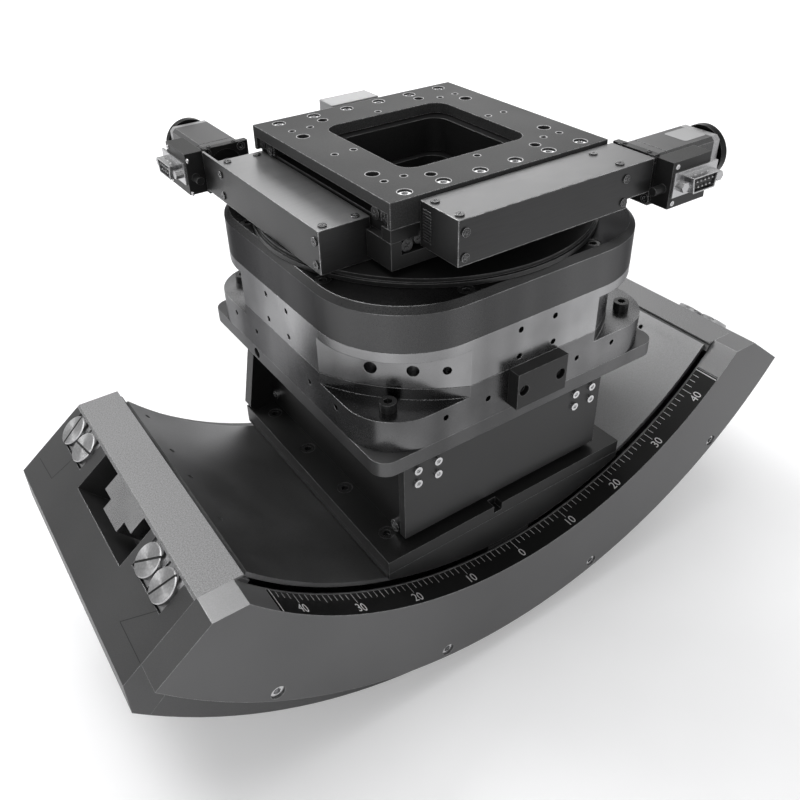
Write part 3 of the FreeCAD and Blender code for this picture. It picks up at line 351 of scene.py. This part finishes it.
def facing(axis, low=0.6, high=0.8):
    """Where a face looks along an axis of the part, either way; used to paint light and shade by
    the way a face looks.
    """
    def where(shade):
        split = shade.nodes.new("ShaderNodeSeparateXYZ")
        shade.link(shade.normal, split.inputs[0])
        size = shade.math("ABSOLUTE", split.outputs[axis], 0.0)
        return shade.remap(size, low, high, 0.0, 1.0)
    return where


def beyond(axis, place):
    """Where the piece reaches past a place, in mm, along an axis of the part."""
    def where(shade):
        split = shade.nodes.new("ShaderNodeSeparateXYZ")
        shade.link(shade.place, split.inputs[0])
        return shade.remap(split.outputs[axis], place * MM, (place + 0.1) * MM, 0.0, 1.0)
    return where


def between(axis, low, high):
    """Where the piece lies between two places, in mm, along an axis of the part."""
    def where(shade):
        return shade.math("MULTIPLY", beyond(axis, low)(shade), shade.math(
            "SUBTRACT", 1.0, beyond(axis, high)(shade)))
    return where


def past_scale(shade):
    """Where the scale ring is bare: on its tips, and on its inner face past the scale."""
    place, normal = (shade.nodes.new("ShaderNodeSeparateXYZ") for i in range(2))
    shade.link(shade.place, place.inputs[0])
    shade.link(shade.normal, normal.inputs[0])
    inward = shade.remap(shade.math("MULTIPLY", normal.outputs["X"], place.outputs["X"]),
                         -0.05, -0.08, 0.0, 1.0)
    inner = shade.math("MULTIPLY", inward, beyond("Z", RING_PAST_SCALE)(shade))
    return shade.math("MAXIMUM", inner, beyond("Z", RING_TIPS)(shade))


def cover_sheet(name, lit_top_level):
    """The drive covers' sheet, brushed along x, with its faces along z, the top among them,
    painted lighter as painted light from above.
    """
    return metal(name, 0.045, 0.38, metallic=0.8, grain=1800, speckle=0.08, depth=0.001,
                 stretch=(0.05, 1.0, 1.0), edge=1.0, edge_width=0.7, edge_tone=0.6,
                 part=(lit_top_level, facing("Z")))


def shaft_and_knob(name, knob):
    """A steel shaft with a black knob."""
    return metal(name, 0.4, 0.4, metallic=0.9, speckle=0.1, edge=0.4, edge_tone=0.3,
                 part=(0.01, knob))


def make_materials():
    return {
        "black_anodised": metal("black anodised", 0.007, 0.42, specular=0.38, speckle=0.5,
                                cloud=0.2, depth=0.006, edge=0.6),
        "graphite_anodised": metal("graphite anodised", 0.1, 0.46, metallic=0.8, grain=2600,
                                   speckle=0.12, cloud=0.1, depth=0.004, edge=0.5),
        "scale_ring": metal("graphite ring", 0.12, 0.42, metallic=0.8, grain=2600,
                            speckle=0.1, cloud=0.14, cloud_scale=9.0, depth=0.003, edge=0.6,
                            part=(0.24, past_scale)),
        "blasted_grey": metal("blasted grey", 0.23, 0.6, metallic=0.5, grain=1500,
                              speckle=0.35, cloud=0.06, depth=0.02, edge=0.3),
        "arc_cover": metal("cover sheet", 0.29, 0.44, metallic=1.0, grain=1200, speckle=0.1,
                           cloud=0.1, depth=0.002, grazing=0.15),
        "scale_black": metal("scale black", 0.006, 0.35, specular=0.25, grain=1500,
                             depth=0.001),
        "dark_block": metal("black blocks", 0.016, 0.4, metallic=0.4, specular=0.4, speckle=0.3,
                            cloud=0.2, depth=0.004, edge=0.7),
        "rim_highlight": metal("chamfer highlight", 0.3, 0.35, metallic=0.9, speckle=0.25),
        "disc_steel": metal("turned discs", 0.5, 0.36, metallic=1.0, grain=900, speckle=0.12,
                            cloud=0.1, cloud_scale=60, depth=0.0006, rings=0.8),
        "front_plate": metal("front plate", 0.045, 0.42, metallic=0.5, specular=0.4,
                             speckle=0.2, cloud=0.15, depth=0.003, edge=0.7),
        "top_black": metal("textured black", 0.024, 0.56, specular=0.35, grain=1600,
                           speckle=0.7, cloud=0.1, depth=0.012, edge=1.0, edge_width=0.7,
                           edge_tone=0.4),
        # the housing's faces along z, the top among them, are painted darker, as painted shade
        # under the stage above
        "housing": metal("housing anodised", 0.088, 0.3, metallic=0.9, speckle=0.08,
                         cloud=0.1, depth=0.002, edge=0.5, bands=0.22,
                         part=(0.05, facing("Z")), grazing=0.3),
        "adapter": metal("adapter anodised", 0.11, 0.38, metallic=0.8, speckle=0.1,
                         cloud=0.15, depth=0.002, edge=0.5, bands=0.2, grazing=0.62),
        # the lift base's faces along z, the pocket floors among them, are painted lighter, as
        # painted light from above
        "lift_base": metal("dark machined", 0.14, 0.27, metallic=1.0, grain=2600, bands=0.35,
                           speckle=0.04, cloud=0.3, cloud_scale=22, depth=0.0006, edge=0.5,
                           part=(0.17, facing("Z")), grazing=0.5),
        "machined_silver": metal("machined silver", 0.3, 0.24, metallic=1.0, grain=2600, bands=0.3,
                                 speckle=0.04, cloud=0.25, cloud_scale=22, depth=0.0006,
                                 edge=0.4, grazing=0.42),
        # the two covers' tops are painted lighter by different amounts, as painted light that
        # falls more on the y cover
        "x_drive_cover": cover_sheet("x cover sheet", 0.15),
        "y_drive_cover": cover_sheet("y cover sheet", 0.28),
        "bright_steel": metal("bright steel", 0.42, 0.3, metallic=1.0, grain=2600,
                              speckle=0.08, cloud=0.06, cloud_scale=60, depth=0.0008, edge=0.3,
                              edge_tone=0.7),
        "rail_steel": metal("dark rails", 0.06, 0.3, metallic=0.8, speckle=0.1, edge=0.6),
        "x_shaft": shaft_and_knob("x shaft and knob", beyond("X", X_KNOB)),
        "y_shaft": shaft_and_knob("y shaft and knob", beyond("Y", Y_KNOB)),
        "back_shaft": shaft_and_knob("rear shafts and knobs", beyond("Y", BACK_KNOB)),
        "dark_steel": metal("dark steel", 0.03, 0.3, metallic=0.6, edge=0.8,
                            edge_width=0.25),
        "cover_screw": metal("cover screw", 0.05, 0.3, metallic=0.8, edge=1.0, edge_width=0.3,
                             edge_tone=0.7),
        "nickel_steel": metal("nickel steel", 0.62, 0.22, metallic=1.0, depth=0.001,
                              edge=0.3, edge_width=0.25),
        "bronze": metal("dark bronze", 0.2, 0.4, metallic=0.9),
        "motor_black": metal("motor black", 0.03, 0.4, metallic=0.5, specular=0.5,
                             speckle=0.3, edge=0.7),
        "x_motor": metal("x motor", 0.08, 0.38, metallic=0.5, speckle=0.3, edge=0.7,
                         part=(0.4, between("X", *X_FLANGE))),
        "y_motor": metal("y motor", 0.09, 0.38, metallic=0.5, speckle=0.3, edge=0.7,
                         part=(0.4, between("Y", *Y_FLANGE))),
        "plug_metal": metal("plug shell", 0.5, 0.3, metallic=1.0, depth=0.001, edge=0.2),
        "plug_black": metal("plug insert", 0.008, 0.5),
        "box_silver": metal("silver case", 0.3, 0.4, metallic=0.7, speckle=0.1, edge=0.4,
                            edge_width=1.2),
        "paint_white": metal("white filling", 0.55, 0.5, metallic=0.3, speckle=0.1),
        "label_white": metal("label film", 0.34, 0.45, grain=900, speckle=0.03, depth=0.001),
    }


# nodes whose finish differs from the rest of their slot
SPECIAL = {
    "scale_ring": "scale_ring", "arc_cover": "arc_cover", "lift_base": "lift_base",
    "top_plate": "top_black", "lower_block": "dark_block", "middle_plate": "dark_block",
    # the guide shoes are dark steel, made dark as painted shade for the gap where they show
    "rotary_housing": "housing", "adapter_plate": "adapter", "guide_shoes": "dark_steel",
    "x_drive_cover": "x_drive_cover", "y_drive_cover": "y_drive_cover",
    "ring_screws": "nickel_steel", "x_drive_bracket": "dark_block",
    "y_drive_bracket": "dark_block", "front_plate": "front_plate",
    "lift_stop_block": "dark_block", "lower_rails": "rail_steel", "middle_rails": "rail_steel",
    "top_rails": "rail_steel", "x_lead_screw": "x_shaft", "y_lead_screw": "y_shaft",
    "swivel_shaft": "back_shaft", "lift_shaft": "back_shaft", "rotary_worm": "back_shaft",
    "x_motor": "x_motor", "y_motor": "y_motor", "x_cover_screws": "cover_screw",
    "y_cover_screws": "cover_screw",
}


def dress_nodes(materials):
    """Gives every node its own finish, or the one that the record names for it."""
    for row in frame["record"]["subparts"]:
        node = frame["nodes"][row["node"]]
        node.data.materials.clear()
        finish = SPECIAL.get(row["node"], row["material_slot"])
        node.data.materials.append(materials[finish])


# small pieces

def new_piece(name, mesh, body, material, matrix=None):
    """A piece that rides on a body, in a material."""
    piece = bpy.data.objects.new(name, mesh)
    bpy.context.scene.collection.objects.link(piece)
    mesh.materials.append(material)
    if matrix:
        piece.matrix_world = matrix
    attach(piece, body)
    return piece


def mesh_from(name, build):
    """A mesh from a call that adds its faces."""
    shape = bmesh.new()
    build(shape)
    bmesh.ops.recalc_face_normals(shape, faces=shape.faces)
    mesh = bpy.data.meshes.new(name)
    shape.to_mesh(mesh)
    shape.free()
    return mesh


class Face:
    """A flat face of the object: a place, two directions in the face, and one out of it."""

    def __init__(self, place, right, up):
        self.place = Vector(place)
        self.right = Vector(right)
        self.up = Vector(up)
        self.out = self.right.cross(self.up)

    def at(self, a, b, height):
        return (self.place + self.right * a + self.up * b + self.out * height) * MM


def slab(shape, face, outline, low, high):
    """A plate on a face, from its outline and two heights over the face."""
    rings = [[shape.verts.new(face.at(a, b, height)) for a, b in outline]
             for height in (low, high)]
    close_rings(shape, rings)


def skin(shape, rings):
    """Skins a stack of rings of equal length."""
    for low, high in zip(rings, rings[1:]):
        for i in range(len(low)):
            j = (i + 1) % len(low)
            shape.faces.new([low[i], low[j], high[j], high[i]])


def close_rings(shape, rings):
    """Skins a stack of rings, and closes both ends."""
    skin(shape, rings)
    shape.faces.new(rings[-1])
    shape.faces.new(list(reversed(rings[0])))


def circles(shape, face, a, b, profile, sides):
    """Rings of points round a place on a face, one for each (radius, height)."""
    turns = [2 * math.pi * i / sides for i in range(sides)]
    return [[shape.verts.new(face.at(a + radius * math.cos(turn), b + radius * math.sin(turn),
                                     height)) for turn in turns]
            for radius, height in profile]


def turned(shape, face, a, b, profile, sides=24):
    """A round piece standing on a face, from its half outline of (radius, height)."""
    close_rings(shape, circles(shape, face, a, b, profile, sides))


def rounded(x0, y0, x1, y1, radius, steps=5):
    """Outline of a rectangle with round corners."""
    points = []
    for cx, cy, start in ((x1 - radius, y1 - radius, 0), (x0 + radius, y1 - radius, 90),
                          (x0 + radius, y0 + radius, 180), (x1 - radius, y0 + radius, 270)):
        for i in range(steps + 1):
            turn = math.radians(start + 90 * i / steps)
            points.append((cx + radius * math.cos(turn), cy + radius * math.sin(turn)))
    return points


def socket_screw(shape, face, a, b, radius, high):
    """A small pan head with a socket."""
    turned(shape, face, a, b, [(radius, -0.2), (radius, high * 0.7), (radius * 0.88, high),
                               (radius * 0.5, high), (radius * 0.46, high * 0.3)], 18)


def plug_faces():
    """Each plug's front face, and the body that carries the plug."""
    x_low, x_high = (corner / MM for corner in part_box("x_plug"))
    y_low, y_high = (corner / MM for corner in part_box("y_plug"))
    x_mid = (x_low + x_high) / 2
    y_mid = (y_low + y_high) / 2
    return {
        "x": (Face((x_mid.x, x_low.y, x_mid.z), (1, 0, 0), (0, 0, 1)), "middle"),
        "y": (Face((y_low.x, y_mid.y, y_mid.z), (0, -1, 0), (0, 0, 1)), "rotor"),
    }


def plug_insert(shape, face):
    """The black insert in the shell, and a black disc deep in each of the two hollow posts, as
    painted shade in its hole.
    """
    slab(shape, face, PLUG_CORE, -PLUG_CORE_BACK - PLUG_CORE_THICK,
         -PLUG_CORE_BACK + PLUG_CORE_THICK)
    for sign in (-1, 1):
        turned(shape, face, sign * PLUG_POST, 0, POST_HOLE_SHADE)


def plug_pins(shape, face):
    rows = [(5, PIN_ROW), (4, -PIN_ROW)]
    for count, b in rows:
        for i in range(count):
            a = (i - (count - 1) / 2) * PIN_STEP
            base = -PLUG_CORE_BACK
            turned(shape, face, a, b, [(PIN_RADIUS, base), (PIN_RADIUS, base + PIN_LONG - PIN_TIP),
                                       (PIN_RADIUS * 0.4, base + PIN_LONG)], 12)


def plug_dimples(shape, face):
    """Spring dimples pressed into the top of the shell."""
    top = Face(face.at(0, *DIMPLE_PLACE) / MM, face.right, -face.out)
    for i in (-1, 0, 1):
        turned(shape, top, i * DIMPLE_STEP, 0, DIMPLE, 14)


def build_plugs(materials):
    for axis, (face, body) in plug_faces().items():
        for name, build, finish, slot in (("insert", plug_insert, "plug_black", "black_anodised"),
                                          ("pins", plug_pins, "plug_metal", "plug_metal"),
                                          ("dimples", plug_dimples, "plug_metal", "plug_metal")):
            mesh = mesh_from(f"{axis}_plug_{name}", lambda shape: build(shape, face))
            new_piece(f"{axis}_plug_{name}", mesh, body, materials[finish])


def build_label(materials):
    motor_top = (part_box("x_motor")[1] / MM).z
    top = Face((0, 0, motor_top), (1, 0, 0), (0, 1, 0))
    x0, y0 = LABEL_LOW
    outline = rounded(x0, y0, x0 + LABEL_SIZE[0], y0 + LABEL_SIZE[1], LABEL_CORNER)
    mesh = mesh_from("blank_label", lambda shape: slab(shape, top, outline, *LABEL_FILM))
    new_piece("blank_label", mesh, "middle", materials["label_white"])


def end_face(sign, angle=END_ANGLE):
    """A face across the arc: a runs out from the swivel axis, b along it."""
    turn = math.radians(angle)
    outward = (sign * math.sin(turn), 0, -math.cos(turn))
    return Face((0, 0, AXIS_HEIGHT), outward, (0, sign, 0))


def seam(shape, face, start, end):
    """A thin dark line on a face, from one point to another."""
    a0, b0 = start
    a1, b1 = end
    long = math.hypot(a1 - a0, b1 - b0)
    da, db = -(b1 - b0) / long * SEAM_WIDE / 2, (a1 - a0) / long * SEAM_WIDE / 2
    outline = [(a0 + da, b0 + db), (a1 + da, b1 + db), (a1 - da, b1 - db), (a0 - da, b0 - db)]
    slab(shape, face, outline, -SUNK, SEAM_HIGH)


def build_seams(materials):
    for side, sign in (("left", -1), ("right", 1)):
        face = end_face(sign)

        def lines(shape):
            for path in END_SEAMS.values():
                for start, end in zip(path, path[1:]):
                    seam(shape, face, (start[0], sign * start[1]), (end[0], sign * end[1]))
        new_piece(f"end_seams_{side}", mesh_from(f"end_seams_{side}", lines), "base",
                  materials["plug_black"])


def half_disc(shape, face, side):
    """Half of a disc's head, on one side of its slot."""
    rings = []
    steps = DISC_SIDES // 2
    for radius, height in ((DISC_RADIUS, DISC_HIGH - SLOT_DEEP),
                           (DISC_RADIUS, DISC_HIGH - DISC_CHAMFER),
                           (DISC_RADIUS - DISC_CHAMFER, DISC_HIGH)):
        start = math.asin(SLOT_WIDE / 2 / radius)
        turns = [start + (math.pi - 2 * start) * i / steps for i in range(steps + 1)]
        rings.append([shape.verts.new(face.at(radius * math.cos(turn),
                                              side * radius * math.sin(turn), height))
                      for turn in turns])
    close_rings(shape, rings)


def rail_disc(shape):
    """A slotted disc about its own z axis."""
    own = Face((0, 0, 0), (1, 0, 0), (0, 1, 0))
    turned(shape, own, 0, 0, [(DISC_RADIUS, 0), (DISC_RADIUS, DISC_HIGH - SLOT_DEEP)],
           DISC_SIDES)
    for side in (-1, 1):
        half_disc(shape, own, side)


def build_rail_discs(materials):
    """The discs stand for their CAD node, so that their slots and turning marks lie as seen."""
    for name, sign in (("left", -1), ("right", 1)):
        face = end_face(sign, DISC_ANGLE)
        floors = []
        for count, (y, slot_turn) in enumerate(RAIL_DISCS, 1):
            turn = math.radians(slot_turn) * sign
            along = face.right * math.cos(turn) + face.up * math.sin(turn)
            own = Face(face.at(DISC_PLACE, sign * y, 0) / MM, along, face.out.cross(along))
            matrix = Matrix((own.right, own.up, own.out)).transposed().to_4x4()
            piece = new_piece(f"rail_disc_{name}_{count}",
                              mesh_from(f"rail_disc_{name}_{count}", rail_disc), "base",
                              materials["disc_steel"],
                              Matrix.Translation(own.place * MM) @ matrix)
            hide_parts("rail_end_screws")
            floors.append(own)

        # a black block in each slot, a little below the top, as painted shade in the slot
        def slots(shape):
            long = DISC_RADIUS - SUNK
            for own in floors:
                slab(shape, own, [(-long, -SLOT_WIDE / 2), (long, -SLOT_WIDE / 2),
                                  (long, SLOT_WIDE / 2), (-long, SLOT_WIDE / 2)],
                     DISC_HIGH - SLOT_DEEP - SUNK, DISC_HIGH - SLOT_SHOWN)
        new_piece(f"rail_disc_slot_shade_{name}", mesh_from(f"rail_disc_slot_shade_{name}", slots),
                  "base", materials["plug_black"])


def build_ribs(materials):
    """The ribbed strip beside the top plate, on the end of the X cover."""
    low, high = (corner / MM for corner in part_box("x_drive_cover"))
    face = Face((low.x, high.y, low.z), (0, -1, 0), (0, 0, 1))

    def ribs(shape):
        a, first = RIB_START
        for i in range(RIB_COUNT):
            b = first + i * RIB_STEP
            slab(shape, face, [(a, b), (a + RIB_WIDE, b), (a + RIB_WIDE, b + RIB_THICK),
                               (a, b + RIB_THICK)], -SUNK, RIB_HIGH)
    new_piece("x_cover_ribs", mesh_from("x_cover_ribs", ribs), "middle",
              materials["dark_block"])


def build_hole_rims(materials):
    plate_top = (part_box("top_plate")[1] / MM).z
    face = Face((0, 0, plate_top), (1, 0, 0), (0, 1, 0))

    def rims(shape):
        for radius, spots in TOP_ROWS:
            for a, b in spots:
                rim(shape, face, a, b, radius)
    new_piece("top_hole_rims", mesh_from("top_hole_rims", rims), "top",
              materials["rim_highlight"])


def rim(shape, face, a, b, radius):
    """A thin ring round a hole, sloped like its chamfer, in a bright tone that is a painted
    highlight.
    """
    inner, outer = radius + RIM_PLAY, radius + TOP_RIM
    section = [(inner, -RIM_SUNK), (inner, RIM_HEIGHTS[0]), (outer, RIM_HEIGHTS[1]),
               (outer, -RIM_SUNK)]
    rings = circles(shape, face, a, b, section, 32)
    skin(shape, rings + rings[:1])


def build_small_screws(materials):
    """Screws on the motor brackets and on the plug boxes."""
    x_top = Face(X_BRACKET_FACE, (1, 0, 0), (0, 1, 0))
    y_top = Face(Y_BRACKET_FACE, (1, 0, 0), (0, 1, 0))
    x_box = Face(X_BOX_FACE, (1, 0, 0), (0, 0, 1))
    y_box = Face(Y_BOX_FACE, (0, -1, 0), (0, 0, 1))
    rows = {
        "x_bracket_screws": (x_top, X_BRACKET_SCREWS, BRACKET_SCREW, "middle", "dark_steel"),
        "y_bracket_screws": (y_top, Y_BRACKET_SCREWS, BRACKET_SCREW, "rotor", "dark_steel"),
        "x_box_screws": (x_box, X_BOX_SCREWS, BOX_SCREW, "middle", "nickel_steel"),
        "y_box_screws": (y_box, Y_BOX_SCREWS, BOX_SCREW, "rotor", "nickel_steel"),
    }
    for name, (face, spots, radius, body, finish) in rows.items():
        def screws(shape):
            for a, b in spots:
                socket_screw(shape, face, a, b, radius, SCREW_HIGH)
        new_piece(name, mesh_from(name, screws), body, materials[finish])


def on_scale(along, across):
    """A point on the scale: along is measured on the arc, across is y, both in mm."""
    angle = along / SCALE_RADIUS
    return Vector((SCALE_RADIUS * math.sin(angle), across,
                   AXIS_HEIGHT - SCALE_RADIUS * math.cos(angle))) * MM


def arc_step(degrees):
    """Length on the arc of an angle."""
    return math.radians(degrees) * SCALE_RADIUS


def mark(shape, along, wide, y0, y1):
    """A painted line across the scale."""
    corners = [on_scale(along - wide / 2, y0), on_scale(along + wide / 2, y0),
               on_scale(along + wide / 2, y1), on_scale(along - wide / 2, y1)]
    shape.faces.new([shape.verts.new(point) for point in corners])


def scale_marks(shape):
    for degree in range(-SCALE_LAST, SCALE_LAST + 1):
        if degree % NUMBER_STEP == 0:
            long = TICK_LONG
        elif degree % (NUMBER_STEP // 2) == 0:
            long = TICK_MIDDLE
        else:
            long = TICK_SHORT
        mark(shape, arc_step(degree), TICK_WIDE, SCALE_BACK, SCALE_BACK - long)
    for sign in (-1, 1):
        mark(shape, sign * arc_step(SCALE_END), 2 * TICK_WIDE, SCALE_BACK + END_TICK[0],
             SCALE_BACK - END_TICK[1])


def scale_number(value, place, material):
    """A number on the scale, read from the front, wrapped on the arc."""
    text = bpy.data.curves.new(f"number_text_{place}", "FONT")
    text.body = str(value)
    text.size = FONT_SIZE
    text.align_x = "CENTER"
    text.align_y = "CENTER"
    holder = bpy.data.objects.new("text_holder", text)
    mesh = bpy.data.meshes.new_from_object(holder)
    bpy.data.objects.remove(holder)
    for vertex in mesh.vertices:
        vertex.co = on_scale(arc_step(place) + vertex.co.x * NUMBER_WIDE,
                             NUMBER_Y + vertex.co.y)
    mesh.name = f"scale_number_{place}"
    name = f"scale_number_{'m' if place < 0 else 'p'}{abs(place)}"
    return new_piece(name, mesh, "base", material)


def build_scale(materials):
    white = materials["paint_white"]
    new_piece("scale_marks", mesh_from("scale_marks", scale_marks), "base", white)
    for place in range(-NUMBER_LAST, NUMBER_LAST + 1, NUMBER_STEP):
        scale_number(abs(place), place, white)


# floor, light and camera

def build_floor():
    def plane(shape):
        wide = FLOOR_HALF
        corners = [(-wide, -wide), (wide, -wide), (wide, wide), (-wide, wide)]
        shape.faces.new([shape.verts.new((x, y, 0)) for x, y in corners])

    floor = bpy.data.objects.new("floor", mesh_from("floor", plane))
    bpy.context.scene.collection.objects.link(floor)
    shade = Shade("pale floor")
    shade.shader.inputs["Roughness"].default_value = 0.9
    shade.shader.inputs["Specular IOR Level"].default_value = 0.1
    dust = shade.remap(shade.noise(30.0), 0.3, 0.7, 0.0, 1.0)
    low, high = (grey(level) for level in FLOOR_TONES)
    shade.link(shade.mix(dust, low, high), shade.shader.inputs["Base Color"])
    # away from the object the floor turns into the white backdrop
    reach = shade.nodes.new("ShaderNodeVectorMath")
    reach.operation = "LENGTH"
    shade.link(shade.place, reach.inputs[0])
    far = shade.remap(reach.outputs["Value"], *FLOOR_REACH, *FLOOR_SEEN)
    path = shade.nodes.new("ShaderNodeLightPath").outputs
    glow = shade.math("ADD", shade.math("MULTIPLY", path["Is Camera Ray"], far),
                      shade.math("MULTIPLY", path["Is Glossy Ray"], FLOOR_MIRRORED))
    shade.shader.inputs["Emission Color"].default_value = (1, 1, 1, 1)
    shade.link(glow, shade.shader.inputs["Emission Strength"])
    floor.data.materials.append(shade.material)


def build_world():
    world = bpy.data.worlds.new("studio")
    bpy.context.scene.world = world
    world.use_nodes = True
    nodes = world.node_tree.nodes
    link = world.node_tree.links.new
    background = nodes["Background"]
    path = nodes.new("ShaderNodeLightPath").outputs
    seen = nodes.new("ShaderNodeMath")
    seen.operation = "MAXIMUM"
    link(path["Is Camera Ray"], seen.inputs[0])
    link(path["Is Transmission Ray"], seen.inputs[1])
    # glossy rays see the white backdrop behind the object and a dimmer room above it
    place = nodes.new("ShaderNodeTexCoord")
    split = nodes.new("ShaderNodeSeparateXYZ")
    link(place.outputs["Generated"], split.inputs[0])
    # and more light on the right than on the left
    room = nodes.new("ShaderNodeMath")
    room.operation = "MULTIPLY"
    for factor, (axis, reach, level) in zip(room.inputs, (
            ("Z", ROOM_RISE, ROOM_MIRRORED), ("X", (-1.0, 1.0), ROOM_SIDES))):
        change = nodes.new("ShaderNodeMapRange")
        for key, number in zip(("From Min", "From Max", "To Min", "To Max"), (*reach, *level)):
            change.inputs[key].default_value = number
        link(split.outputs[axis], change.inputs["Value"])
        link(change.outputs["Result"], factor)
    glossy = nodes.new("ShaderNodeMix")
    link(path["Is Glossy Ray"], glossy.inputs[0])
    glossy.inputs[2].default_value = ROOM_DIFFUSE
    link(room.outputs["Value"], glossy.inputs[3])
    whole = nodes.new("ShaderNodeMix")
    link(seen.outputs[0], whole.inputs[0])
    link(glossy.outputs[0], whole.inputs[2])
    whole.inputs[3].default_value = 1.0
    link(whole.outputs[0], background.inputs["Strength"])
    background.inputs["Color"].default_value = (1, 1, 1, 1)


def softbox(name, place, target, size, power):
    lamp = bpy.data.lights.new(name, "AREA")
    lamp.shape = "RECTANGLE"
    lamp.size, lamp.size_y = size
    lamp.energy = power
    holder = bpy.data.objects.new(name, lamp)
    bpy.context.scene.collection.objects.link(holder)
    holder.location = place
    look = Vector(target) - Vector(place)
    holder.rotation_euler = look.to_track_quat("-Z", "Y").to_euler()


def build_lights():
    for name, (place, target, size, power) in LAMPS.items():
        softbox(name, place, target, size, power)


def build_camera():
    turn, tilt, roll = (math.radians(v) for v in (CAMERA_TURN, CAMERA_TILT, CAMERA_ROLL))
    ahead = Vector((math.sin(turn) * math.cos(tilt), math.cos(turn) * math.cos(tilt),
                    -math.sin(tilt))).normalized()
    # the camera looks along ahead, then rolls about it
    level = ahead.cross(Vector((0, 0, 1))).normalized()
    upward = level.cross(ahead)
    right = level * math.cos(roll) + upward * math.sin(roll)
    up = upward * math.cos(roll) - level * math.sin(roll)
    matrix = Matrix((right, up, -ahead)).transposed().to_4x4()
    matrix.translation = Vector(CAMERA_PLACE) * MM
    lens = bpy.data.cameras.new("camera")
    lens.sensor_width = SENSOR
    lens.lens = FOCAL_PIXELS / IMAGE * SENSOR
    lens.shift_x = (IMAGE / 2 - CENTRE_X) / IMAGE
    lens.shift_y = (CENTRE_Y - IMAGE / 2) / IMAGE
    lens.clip_start = CLIP_START
    camera = bpy.data.objects.new("camera", lens)
    bpy.context.scene.collection.objects.link(camera)
    camera.matrix_world = matrix
    bpy.context.scene.camera = camera


materials = make_materials()
dress_nodes(materials)
build_scale(materials)
build_plugs(materials)
build_label(materials)
build_seams(materials)
build_rail_discs(materials)
build_ribs(materials)
build_hole_rims(materials)
build_small_screws(materials)
build_floor()
build_world()
build_lights()
build_camera()
bpy.context.scene.view_settings.view_transform = "Standard"
